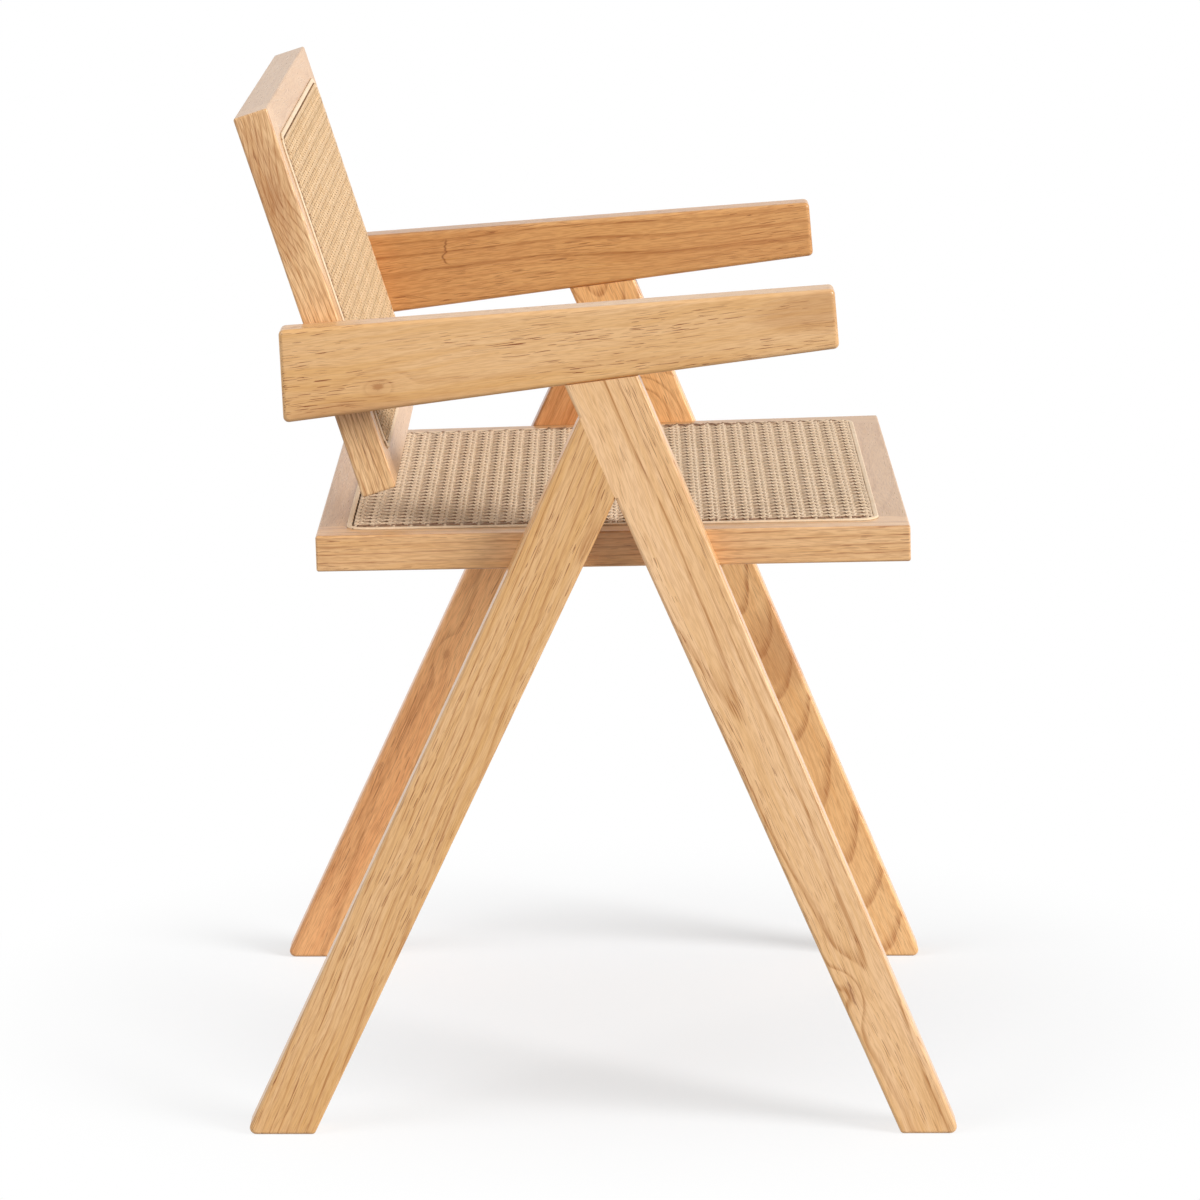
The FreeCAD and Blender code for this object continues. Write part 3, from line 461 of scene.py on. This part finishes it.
# pith: where the tree's middle lies from the board's, across and through it, in metres
# skew and tilt: how far the pith moves across and through the board for each metre along it
# ring: width of a year's growth, in metres
# seed: a number of the board's own, so that no two boards have the same noise
# knots: spot, size, strength of the heart, and by how many rings it bends them
# checks: spot, reach, width, and whether the crack runs along the board
# stains, some of them painted shade: spot, length, breadth and strength
BOARDS = {
    "armrest_right": dict(
        pale="E9BF8F", middling="DBA869", deep="AB6F38", pith=(0.012, -0.09), skew=0.03,
        ring=0.016, seed=3.1, lines=0.25, sway=1.2, pores=1.2, ticks=0.22,
        knots=[(spot(161, 569), 0.0032, 0.8, 1.5)],
        # the second stain is painted shade along the armrest's lower edge
        stains_and_shade=[(spot(-165, 625), 0.055, 0.014, 0.33), (spot(146, 552), 0.13, 0.016, 0.5)]),
    "armrest_left": dict(
        FAR_TONE_AND_SHADE, pith=(-0.02, -0.07), skew=0.05, ring=0.006, seed=7.7, lines=0.7, sway=1.6,
        pores=0.8, checks=[(spot(127, 599), 0.012, 0.0009, False)]),
    "front_leg_right": dict(
        pale="F2C99C", middling="E2B176", deep="B0763E", pith=(0.006, -0.05), skew=0.02,
        ring=0.0045, seed=12.4, lines=0.9, sway=1.8, tilt=0.02, ticks=0.26, pores=0.8,
        knots=[(spot(-186, 112), 0.0045, 0.35, 1.6)],
        checks=[(spot(-187, 111), 0.011, 0.0007, True)]),
    "rear_leg_right": dict(
        NEAR, pith=(-0.03, -0.04), skew=0.03, ring=0.0045, seed=21.9, lines=0.8, sway=1.6,
        tilt=0.02, pores=0.9, ticks=0.26),
    "front_leg_left": dict(
        pale="FBCB91", middling="EDB170", deep="B2703B", pith=(0.006, 0.05), skew=-0.02,
        ring=0.006, seed=33.3, lines=0.85, sway=2.2, tilt=-0.13, pores=0.6,
        knots=[(spot(-36, 470), 0.011, 0.08, 6.0)],
        stains_and_shade=[(spot(-146, 262), 0.04, 0.03, 0.45)]),
    "rear_leg_left": dict(
        pale="F4BC82", middling="E6A269", deep="A0602C", pith=(0.02, 0.05), skew=0.03,
        ring=0.005, seed=41.8, lines=0.55, sway=1.6, pores=0.7,
        knots=[(spot(130, 262), 0.003, 0.4, 0.9)],
        stains_and_shade=[(spot(36, 478), 0.07, 0.06, 0.35)]),
    "seat_side_rail_right": dict(
        pale="ECC190", middling="DCA970", deep="A3683A", pith=(0.02, -0.06), skew=0.01,
        ring=0.005, seed=52.6, lines=0.7, sway=1.6, pores=0.8),
    "seat_side_rail_left": dict(FRAME, pith=(-0.02, -0.06), skew=0.02, seed=57.2, lines=0.4),
    "seat_front_rail": dict(FRAME, pith=(0.01, -0.05), skew=0.03, seed=63.9, lines=0.3),
    "seat_rear_rail": dict(FRAME, pith=(-0.01, -0.05), skew=-0.03, seed=68.5, lines=0.3),
    "back_stile_right": dict(
        pale="F2CB9B", middling="E0AF76", deep="A3632B", pith=(0.024, -0.03), skew=0.05,
        ring=0.0036, seed=74.1, lines=0.8, pores=0.7, ticks=0.45, sway=3.4, tilt=0.04,
        turned=True, knots=[(spot(230, 712), 0.009, 0.35, 4.5)],
        stains_and_shade=[(spot(236, 716), 0.06, 0.02, 0.32)]),
    "back_stile_left": dict(FRAME, pith=(-0.02, -0.05), skew=0.03, seed=79.4, lines=0.4),
    "back_top_rail": dict(FRAME, pith=(0.01, -0.05), skew=0.02, seed=85.3, lines=0.3),
    "back_bottom_rail": dict(FRAME, pith=(-0.01, 0.05), skew=-0.02, seed=91.7, lines=0.3),
}


def dress(name, material):
    """Puts one material on every slot of a solid."""
    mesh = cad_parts[name].data
    mesh.materials.clear()
    mesh.materials.append(material)


for name, tree_slice in BOARDS.items():
    dress(name, wood(name, **tree_slice))
print(len(BOARDS), "boards finished")

# %% [markdown]
# ## Dowels, bolts, washers and inserts
#
# These sit inside the chair. Only the bolts' heads can be seen, deep in their pockets, from
# under the seat and between back and armrest. Zinc on steel is a grey metal with a faintly
# mottled gloss, brass is a warm one, and the dowels are plain hardwood, finely speckled.


# %% Hidden hardware
def metal(name, tint, gloss):
    """A metal whose colour and roughness are mottled by fine noise."""
    finish = Finish(name)
    mottle = finish.noise(finish.object_place(), 900.0, 3.0)
    shown = finish.blend(mottle, colour(tint), tinted(tint, (0.8, 0.8, 0.8)))
    inputs = {"Base Color": shown, "Roughness": gloss + mottle * 0.18, "Metallic": 1.0}
    return finish.surface(inputs)


def dowel_wood():
    """Plain hardwood: two tones, mixed by fine noise."""
    finish = Finish("dowel_hardwood")
    speck = finish.noise(finish.object_place(), 700.0, 3.0)
    shown = finish.blend(speck, colour("D9B98C"), colour("B98F5E"))
    return finish.surface({"Base Color": shown, "Roughness": 0.6})


zinc = metal("zinc_plate", "B9BBBE", 0.26)
brass = metal("insert_brass", "C8A256", 0.3)
plain_dowel = dowel_wood()
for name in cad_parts:
    if name.endswith("_dowels"):
        dress(name, plain_dowel)
    elif name.endswith("_inserts"):
        dress(name, brass)
    elif "bolt" in name:
        dress(name, zinc)
print("hardware finished")

# %% [markdown]
# ## Where the cane lies
#
# Both panels are stretched over a frame of four boards and wedged into a groove by a round
# spline. A panel is drawn flat, with x across the chair, y from its near edge and z out of its
# face, and then carried to its place by one turn about X. Its edge is a box with round corners
# whose sides may slope a little, so one formula tells how far any point is from that edge.

# %% Panels
OPENING_CORNER = 11.05 * MM


class Panel:
    """A flat cane panel: its place on the chair and the outline of its opening.

    near_edge is the y and z of the frame's front or lower edge, lean the panel's angle from
    level, half_near and half_far half the frame's width at that edge and at the far one, and
    inset how far inside the frame's edge the opening begins. phase is where the weave's mesh
    lines lie, across and lengthwise, and the last argument how far from the sides the strands
    get painted shade, the shade of the groove.
    """

    def __init__(self, name, near_edge, lean, length, half_near, half_far, inset, phase,
                 painted_groove_shade_reach):
        self.name = name
        self.near_edge = np.array([0.0, *near_edge])
        self.lengthwise = np.array([0.0, math.cos(lean), math.sin(lean)])
        self.outward = np.array([0.0, -math.sin(lean), math.cos(lean)])
        self.length, self.half_near, self.half_far = length, half_near, half_far
        self.inset, self.phase, self.painted_groove_shade_reach = inset, phase, painted_groove_shade_reach

    def half(self, y):
        """Half width of the frame: it changes evenly from near to far."""
        return self.half_near + (self.half_far - self.half_near) * y / self.length

    def outside(self, x, y):
        """Distance out of the opening: |max(q, 0)| + min(max(qx, qy), 0) - corner.

        qx = |x| - half(y) + depth and qy = |y - length / 2| - length / 2 + depth, where depth
        is the inset of the opening's edge plus its corner radius.
        """
        depth = self.inset + OPENING_CORNER
        qx = np.abs(x) - self.half(y) + depth
        qy = np.abs(y - self.length / 2) - self.length / 2 + depth
        over = np.hypot(np.maximum(qx, 0), np.maximum(qy, 0))
        return over + np.minimum(np.maximum(qx, qy), 0) - OPENING_CORNER

    def carry(self, points):
        """From the flat drawing to the chair: near edge + x + y lengthwise + z outward."""
        x, y, z = points[..., :1], points[..., 1:2], points[..., 2:]
        across = np.array([1.0, 0.0, 0.0])
        return self.near_edge + across * x + y * self.lengthwise + z * self.outward


SEAT = Panel("seat", near_edge=(-228.0 * MM, 462.8 * MM), lean=math.atan2(-10.3, 439.8),
             length=439.921 * MM, half_near=240.66 * MM, half_far=225.66 * MM, inset=25.85 * MM,
             phase=(3.9 * MM, 3.2 * MM), painted_groove_shade_reach=9.0 * MM)
BACK = Panel("back", near_edge=(151.37 * MM, 490.28 * MM), lean=math.atan2(280.2, 91.1),
             length=294.638 * MM, half_near=229.5 * MM, half_far=229.5 * MM, inset=27.85 * MM,
             phase=(6.35 * MM, 0.0), painted_groove_shade_reach=4.5 * MM)
for panel in (SEAT, BACK):
    low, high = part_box(panel.name + "_spline")
    print(panel.name, "spline from", [round(x, 4) for x in low], "to", [round(x, 4) for x in high])

# %% [markdown]
# ## Weaving
#
# Half-inch cane has six strands to each mesh: two lengthwise, two crosswise and one each way
# on the slant. The pairs weave over and under each other where they cross. One set of slanting
# strands passes over the lengthwise pairs and under the crosswise ones, and the other set does
# the opposite, so the slants cross each other half way between the pairs' crossings and leave
# eight-sided holes. Heights are therefore simple waves of x and y, and a strand is its
# cross-section carried along its wave.

# %% Sizes of the weave
MESH = 12.7 * MM
PAIR_GAP = 3.3 * MM
REED_WIDTH = 2.3 * MM
REED_THICK = 1.5 * MM
SLANT_WIDTH = 2.0 * MM
SLANT_THICK = 0.4 * MM
# height of the weave's middle plane over the boards, and how far a strand's end bends down
LIFT = 1.1 * MM
TUCK = 2.6 * MM
# across and up, as shares of width and thickness: flat underneath, rounded on top
REED_SHAPE = np.array([[-0.5, 0.02], [-0.48, -0.8], [0.48, -0.8],
                       [0.5, 0.02], [0.3, 0.5], [-0.3, 0.5]])
# the same points as steps round the strand: 0 on top, 1 at the edges and 2 underneath
REED_ROUND = np.array([1.0, 2.0, 2.0, 1.0, 0.2, 0.2])
rng = np.random.default_rng(11)
print("a strand is", REED_WIDTH / MM, "mm wide and", REED_THICK / MM, "mm thick")


# %% Waves
def bob(distance):
    """Height of a pair's strand near a crossing, from -1 to 1: q exp((1 - q^2) / 2).

    q is the distance from the middle of the nearest crossing, in half pair gaps.
    """
    q = (distance - MESH * np.round(distance / MESH)) / (PAIR_GAP / 2)
    return q * np.exp((1 - q * q) / 2)


def swing(x):
    """Height of a slanting strand, from -1 to 1: tanh(f cos) / tanh(f), a flat-topped wave."""
    flatness = 2.2
    return np.tanh(flatness * np.cos(2 * math.pi * x / MESH)) / math.tanh(flatness)


def strand_height(kind, x, y, side):
    """Height of a strand's middle over the weave's middle plane, in metres."""
    half = REED_THICK / 2
    if kind == "lengthwise":
        return -side * half * bob(y)
    if kind == "crosswise":
        return side * half * bob(x)
    return side * (half + SLANT_THICK / 2) * swing(x)


rise = strand_height("crosswise", PAIR_GAP / 2, 0.0, 1)
print("where two pairs cross, a strand rises by", round(rise / MM, 2), "mm")

# %% [markdown]
# A strand runs from edge to edge. Its ends are found by sampling the outline formula along its
# line. Its rings of points lie where the wave needs them, six to a mesh, with closer ones at
# the ends, where the cane bends down into the groove. Every strand wanders a tenth of a
# millimetre to the side and has a tone of its own, kept as an attribute for the material. A
# second attribute holds painted shade: lengthwise and slanting strands get darker towards the
# sides, where the groove's shade is painted, and the crosswise ones get a little painted shade
# all along, because they take the light on one flank and would look too pale.

# %% One strand
# painted shade of the crosswise strands, which take the light on one flank
CROSSWISE_PAINTED_SHADE = 0.22
# strands shorter than this are left out
SHORTEST = 8 * MM
# distances along a line at which it is held against the outline
SAMPLES = np.arange(-0.75, 0.75, 0.0002)
# the bend at a strand's end, its rings, and the room that the wave's own rings leave it
BEND_LENGTH = 1.9 * MM
BEND_STEPS = np.array([0.0, 0.5, 1.0, 1.6, 2.6]) * MM
BEND_ROOM = 3.2 * MM
MESH_NUMBERS = np.arange(-70, 71)
PAIR_SHARES = np.array([-0.27, -0.122, 0, 0.122, 0.27, 0.5])
SLANT_SHARES = np.array([-0.33, -0.17, 0, 0.17, 0.33, 0.5])
# width, thickness, and the shares of a mesh at which a strand has its rings
STRANDS = {"lengthwise": (REED_WIDTH, REED_THICK, PAIR_SHARES),
           "crosswise": (REED_WIDTH, REED_THICK, PAIR_SHARES),
           "slant": (SLANT_WIDTH, SLANT_THICK, SLANT_SHARES)}


def strand_span(panel, start, heading):
    """First and last distance along a line at which it lies inside the opening, or nothing."""
    x, y = start[0] + heading[0] * SAMPLES, start[1] + heading[1] * SAMPLES
    inside = panel.outside(x, y) < 0
    return (SAMPLES[inside][0], SAMPLES[inside][-1]) if inside.any() else None


def ring_places(panel, kind, start, heading, first, last):
    """Distances along a strand at which its rings lie.

    A wave is a function of x or of y, so they lie at shares of a mesh in that direction:
    run = (share - start) / heading.
    """
    axis = 1 if kind == "lengthwise" else 0
    marks = (MESH_NUMBERS[:, None] + STRANDS[kind][2]).ravel() * MESH + panel.phase[axis]
    marks = (marks - start[axis]) / heading[axis]
    marks = marks[(marks > first + BEND_ROOM) & (marks < last - BEND_ROOM)]
    return np.sort(np.concatenate([first + BEND_STEPS, marks, last - BEND_STEPS]))


def slow_wave(run, shortest, longest):
    """A sine along the strand, with a length and a start drawn for this strand."""
    return np.sin(run / (rng.uniform(shortest, longest) * MM) + rng.uniform(0, 6.28))


def strand_rings(panel, kind, start, heading, side):
    """Rings of one strand: points (rings, 6, 3), notes (along, round, tone), and painted shade.

    A ring is REED_SHAPE at the line's place, at the height of its wave less the bend at the
    ends, TUCK b^2 (3 - 2 b), where b grows from 0 to 1 over the last BEND_LENGTH.
    """
    span = strand_span(panel, start, heading)
    if span is None or span[1] - span[0] < SHORTEST:
        return None
    width, thick, _ = STRANDS[kind]
    run = ring_places(panel, kind, start, heading, *span)
    x, y = start[0] + heading[0] * run, start[1] + heading[1] * run
    z = strand_height(kind, x - panel.phase[0], y - panel.phase[1], side) + LIFT
    edge = np.minimum(run - span[0], span[1] - run)
    bend = np.clip(1 - edge / BEND_LENGTH, 0, 1)
    z = z - TUCK * bend * bend * (3 - 2 * bend)
    wander = 0.1 * MM * slow_wave(run, 12, 30)
    swell = 1 + 0.05 * slow_wave(run, 8, 20)
    across = REED_SHAPE[:, 0] * width * swell[:, None] + wander[:, None]
    points = np.stack([x[:, None] - heading[1] * across, y[:, None] + heading[0] * across,
                       z[:, None] + REED_SHAPE[:, 1] * thick], axis=-1)
    rounds = REED_ROUND * np.sign(REED_SHAPE[:, 0])
    tone = rng.uniform(0, 1)
    notes = np.stack(np.broadcast_arrays(run[:, None], rounds, tone), axis=-1)
    # painted shade towards the sides of the opening, where the groove's shade falls
    beside = panel.half(y) - panel.inset - np.abs(x)
    painted_shade = np.clip(1 - beside / panel.painted_groove_shade_reach, 0, 1)
    if kind == "crosswise":
        painted_shade = np.full(len(x), CROSSWISE_PAINTED_SHADE)
    return points, notes, np.broadcast_to(painted_shade[:, None], across.shape)


print("rings at a strand's end", (BEND_STEPS / MM).tolist(), "mm")

# %% [markdown]
# All strands of one kind become one mesh. Neighbouring rings are joined by quads, and each end
# is closed by a cap, so every strand is a closed body with its faces outward.


# %% A mesh of strands
def strand_faces(rings, first):
    """Quads between rings and a cap at each end, with point numbers that start at first."""
    grid = first + np.arange(rings * 6).reshape(rings, 6)
    here, there = grid[:-1], grid[1:]
    after = np.roll(grid, -1, axis=1)
    quads = np.stack([here, after[:-1], after[1:], there], axis=-1).reshape(-1, 4)
    return quads.tolist() + [grid[0, ::-1].tolist(), grid[-1].tolist()]


def weave(panel, kind, lines):
    """One object with all strands of a kind. lines holds (start, heading, side)."""
    points, notes, painted_shades, faces, count = [], [], [], [], 0
    for start, heading, side in lines:
        made = strand_rings(panel, kind, start, heading, side)
        if made is None:
            continue
        faces += strand_faces(len(made[0]), count)
        points.append(made[0].reshape(-1, 3))
        notes.append(made[1].reshape(-1, 3))
        painted_shades.append(made[2].ravel())
        count += len(points[-1])
    name = "%s_cane_%s" % (panel.name, kind)
    mesh = bpy.data.meshes.new(name)
    mesh.from_pydata(panel.carry(np.concatenate(points)).tolist(), [], faces)
    reed = mesh.attributes.new("reed", "FLOAT_VECTOR", "POINT")
    reed.data.foreach_set("vector", np.concatenate(notes).ravel())
    # the painted shade of every point, read by the cane finish
    shade = mesh.attributes.new("shade", "FLOAT", "POINT")
    shade.data.foreach_set("value", np.concatenate(painted_shades))
    mesh.polygons.foreach_set("use_smooth", np.ones(len(mesh.polygons), bool))
    mesh.update()
    made = bpy.data.objects.new(name, mesh)
    bpy.context.scene.collection.objects.link(made)
    print(name, len(points), "strands,", sum(len(face) - 2 for face in faces), "triangles")
    return made


# %% [markdown]
# The pairs lie about every mesh line, and the slants half way between. The mesh lines start
# from the middle of the chair and from the seat's front edge or the back's lower edge, moved by
# the panel's phase, which is set for the seat, and for the back so that no strand runs
# along the sides of its opening.

# %% Lines of the weave
# more lines each way than a panel needs: those outside its opening are left out
PAIR_LINES = 45
SLANT_LINES = 70


def pair_lines(panel, kind):
    """Two lines for each mesh line: at i MESH - PAIR_GAP / 2 and i MESH + PAIR_GAP / 2."""
    lines = []
    for number in range(-PAIR_LINES, PAIR_LINES + 1):
        for side in (-1, 1):
            place = number * MESH + side * PAIR_GAP / 2
            if kind == "lengthwise":
                lines.append(((panel.phase[0] + place, 0.0), (0.0, 1.0), side))
            else:
                lines.append(((0.0, panel.phase[1] + place), (1.0, 0.0), side))
    return lines


def slant_lines(panel):
    """Two sets of lines: y = x + (k + 1/2) MESH, and y = -x + (k + 1/2) MESH."""
    lines = []
    root = math.sqrt(0.5)
    for number in range(-SLANT_LINES, SLANT_LINES + 1):
        start = (panel.phase[0], panel.phase[1] + (number + 0.5) * MESH)
        lines.append((start, (root, root), 1))
        lines.append((start, (-root, root), -1))
    return lines


cane_pieces = []
for panel in (SEAT, BACK):
    for kind in ("lengthwise", "crosswise"):
        cane_pieces.append((panel, weave(panel, kind, pair_lines(panel, kind))))
    cane_pieces.append((panel, weave(panel, "slant", slant_lines(panel))))

# %% [markdown]
# ## Cane finish
#
# Cane is the shiny skin of a climbing palm, split into strips: straw-coloured, with fine lines
# along each strip and a low gloss, and no two strips quite the same. Its lines have to follow
# each strand, so they are drawn in the strand's own attribute and not in places on the chair.


# %% Cane finish
def cane(name, panel, pale, middling, deep, inside, top, bottom):
    """Strips of palm skin: the strand's own tone, blotches and fine lines along it.

    The skin is on top. The cut edges and the inside of the strip, the strands near the groove
    and everything that lies deep in the weave get painted shade: it starts at the height top and
    is full at the height bottom, both in millimetres from the weave's middle. inside is how dark
    the painted shade gets.
    """
    finish = Finish(name)
    reed = finish.node("ShaderNodeAttribute", {"attribute_name": "reed"}, None, "Vector")
    along, rounds, tone = finish.parts(reed)
    blotch = finish.noise(finish.place(along * 60.0, tone * 90.0, 0.0), 1.0, 3.0)
    line = finish.noise(finish.place(along * 45.0, rounds * 4.0, tone * 90.0), 1.0, 3.0, 0.7)
    share = tone * 0.6 + finish.step(blotch, 0.3, 0.7) * 0.4
    base = finish.blend(share, colour(pale), colour(middling))
    lined = finish.blend(finish.step(line, 0.45, 0.8) * 0.45, base, colour(deep))
    height = finish.along(finish.object_place(), panel.outward, panel.near_edge) - LIFT
    # painted shade: the deeper a point lies in the weave, the darker
    painted_depth_shade = finish.step(height, top * MM, bottom * MM)
    # painted shade on the strip's cut edges and underside
    painted_underside_shade = finish.step(rounds * rounds, 0.6, 3.2)
    shade = finish.node("ShaderNodeAttribute", {"attribute_name": "shade"}, None, "Fac")
    # all painted shade together: depth, underside, and near the groove
    painted_shade = painted_depth_shade.math("MAXIMUM", painted_underside_shade).math("MAXIMUM", finish.step(shade, 0.1, 0.5))
    shown = finish.blend(painted_shade * inside, lined, colour(deep))
    normal = finish.bump(0.25, 0.0002, line)
    inputs = {"Base Color": shown, "Roughness": 0.45 + line * 0.2, "Normal": normal, "IOR": 1.35}
    return finish.surface(inputs)


# inside, top and bottom set how dark the painted shade gets and at which heights
skins = {
    "seat": cane("seat_cane_skin", SEAT, pale="EDD5B9", middling="E1C7A6", deep="734624",
                 inside=0.78, top=0.42, bottom=-0.35),
    "back": cane("back_cane_skin", BACK, pale="E6C8A1", middling="D8B486", deep="754B25",
                 inside=0.86, top=0.7, bottom=0.15)}
for panel, piece in cane_pieces:
    piece.data.materials.append(skins[panel.name])
    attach(piece, "root")
    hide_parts(panel.name + "_cane")
print(len(cane_pieces), "cane pieces")

# %% [markdown]
# ## Spline finish
#
# The spline is the core of the same palm, paler and duller than its skin. On a real panel one
# sees where it ends: a thin dark line against the boards on its outer side, and on its inner
# side a dark gap between the strands that dive under it. Gaps of a few tenths of a millimetre
# are too small to model, so the shade in both is painted as a dark tone at the spline's foot.


# %% Spline finish
def spline_reed(name, panel, pale, deep, painted_gap_shade):
    """Core of the same palm: cream, with faint streaks and spots, and painted shade at its foot.

    side_depth and end_depth are distances inwards from the frame's side and from its near or
    far edge. A gap of the weave is where cos(2 pi (x - phase) / MESH) is negative along an end,
    and the same with y along a side. The painted shade reaches higher and is stronger in a gap.
    """
    finish = Finish(name)
    place = finish.object_place()
    spots = finish.noise(place, 260.0, 3.0)
    cloud = finish.noise(place, 45.0, 2.0)
    height = finish.along(place, panel.outward, panel.near_edge)
    x = finish.along(place, (1.0, 0.0, 0.0), panel.near_edge)
    y = finish.along(place, panel.lengthwise, panel.near_edge)
    side_depth = panel.half_near + y * ((panel.half_far - panel.half_near) / panel.length) - abs(x)
    end_depth = y.math("MINIMUM", panel.length - y)
    at_side = finish.step(end_depth - side_depth, -1.0 * MM, 1.0 * MM)
    depth = side_depth.math("MINIMUM", end_depth)
    inner = finish.step(depth, panel.inset - 2.6 * MM, panel.inset - 1.9 * MM)
    beats = [((run - start) * (2 * math.pi / MESH)).math("COSINE")
             for run, start in zip((x, y), panel.phase)]
    open_x, open_y = [finish.step(beat, 0.35, -0.35) for beat in beats]
    gap = open_x * (1.0 - at_side) + open_y * at_side
    share = finish.step(spots, 0.4, 0.75) * 0.35 + finish.step(cloud, 0.35, 0.7) * 0.3
    shown = finish.blend(share, colour(pale), colour(deep))
    # painted shade of the gaps at the spline's foot, inside and outside
    inner_gap_shade = finish.step(height - gap * (0.7 * MM), 0.55 * MM, 0.0) * (0.45 + gap * 0.5)
    outer_gap_shade = finish.step(height, 0.6 * MM, 0.1 * MM) * 0.6
    shown = finish.blend(inner_gap_shade * inner + outer_gap_shade * (1.0 - inner), shown, colour(painted_gap_shade))
    normal = finish.bump(0.15, 0.0003, spots)
    return finish.surface({"Base Color": shown, "Roughness": 0.5 + spots * 0.15, "Normal": normal})


# colour of the painted shade at each spline's foot
for panel, painted_gap_shade in ((SEAT, "66452C"), (BACK, "6E4A2A")):
    core = spline_reed(panel.name + "_spline_core", panel, "EBD3B5", "D8B78E", painted_gap_shade)
    dress(panel.name + "_spline", core)
print("splines finished")

# %% [markdown]
# ## Studio
#
# The chair stands on a plain white floor under soft light from all sides. Soft light could come
# from big lamps near the chair, but then the far floor would turn grey. Wide suns and a pale
# sky light the floor evenly, and only the chair's own soft shadow stays on it. For the camera
# and for reflections the floor mixes in its own white, which is all there is from about 0.6 m
# off the shadow's middle, and the sky behind is as white.

# %% Floor
FLOOR_HALF = 60.0
# the floor's colour for the camera, and for the light that it throws back on the chair
FLOOR_SEEN = (0.95, 0.965, 0.98, 1.0)
FLOOR_BOUNCE = (0.4, 0.4, 0.4, 1.0)
WHITE = (1.0, 1.0, 1.0, 1.0)
SHADOW_SHARE = 0.84
SHADOW_MIDDLE = (0.08, -0.02, 0.0)


def seen_directly(finish):
    """1 for rays from the camera, from a glossy surface or through glass, and 0 for the rest."""
    rays = finish.node("ShaderNodeLightPath").socket.node
    kinds = [Value(finish, rays.outputs[key])
             for key in ("Is Camera Ray", "Is Glossy Ray", "Is Transmission Ray")]
    return (kinds[0] + kinds[1] + kinds[2]).math("MINIMUM", 1.0)


finish = Finish("white_floor")
measure = {0: finish.object_place(), 1: SHADOW_MIDDLE}
away = finish.node("ShaderNodeVectorMath", {"operation": "DISTANCE"}, measure, "Value")
direct = seen_directly(finish)
paper = finish.blend(direct, FLOOR_BOUNCE, FLOOR_SEEN)
plain = finish.node("ShaderNodeBsdfDiffuse", None, {"Color": paper})
white = finish.node("ShaderNodeEmission", None, {"Color": WHITE, "Strength": 1.0})
share = direct * ((1.0 - SHADOW_SHARE) + finish.step(away, 0.05, 0.58) * SHADOW_SHARE)
floor_mesh = bpy.data.meshes.new("floor")
corners = [(-FLOOR_HALF, -FLOOR_HALF, 0), (FLOOR_HALF, -FLOOR_HALF, 0),
           (FLOOR_HALF, FLOOR_HALF, 0), (-FLOOR_HALF, FLOOR_HALF, 0)]
floor_mesh.from_pydata(corners, [], [(0, 1, 2, 3)])
floor_shader = finish.node("ShaderNodeMixShader", None, {0: share, 1: plain, 2: white})
floor_mesh.materials.append(finish.end(floor_shader))
floor = bpy.data.objects.new("floor", floor_mesh)
bpy.context.scene.collection.objects.link(floor)
print("floor", 2 * FLOOR_HALF, "m across")

# %% [markdown]
# Both suns shine from the camera's side, the stronger one on the chair's front and the weaker
# one on its back. A sun has no place, only a direction, so its axes are worked out from that.


# %% Light
def sun(name, towards, strength, width):
    """A distant lamp whose light travels towards a direction; width is its angle in degrees."""
    lamp = bpy.data.lights.new(name, "SUN")
    lamp.energy = strength
    lamp.angle = math.radians(width)
    back = -np.array(towards, float) / np.linalg.norm(towards)
    side = np.cross([0.0, 0.0, 1.0], back)
    side = side / np.linalg.norm(side)
    stand(bpy.data.objects.new(name, lamp), side, np.cross(back, side), back)


class Sky(Finish):
    """The world's own nodes, built with the same methods as a material."""

    def __init__(self, name):
        self.world = bpy.data.worlds.new(name)
        self.world.use_nodes = True
        self.tree = self.world.node_tree
        self.tree.nodes.clear()


SKY_LEVEL = 0.36
sun("front_sun", (0.46, 0.88, -0.43), 3.3, 28.0)
sun("rear_sun", (0.42, -0.8, -0.45), 1.3, 40.0)
sky = Sky("pale_sky")
strength = SKY_LEVEL + seen_directly(sky) * (1.0 - SKY_LEVEL)
glow = sky.node("ShaderNodeBackground", None, {"Color": WHITE, "Strength": strength})
out = sky.tree.nodes.new("ShaderNodeOutputWorld")
sky.tree.links.new(glow.socket, out.inputs["Surface"])
bpy.context.scene.world = sky.world
bpy.context.scene.view_settings.view_transform = "Standard"

# %% [markdown]
# ## Last update
#
# The view layer is updated once more, so that every object's place is current.

# %% Last update
bpy.context.view_layer.update()
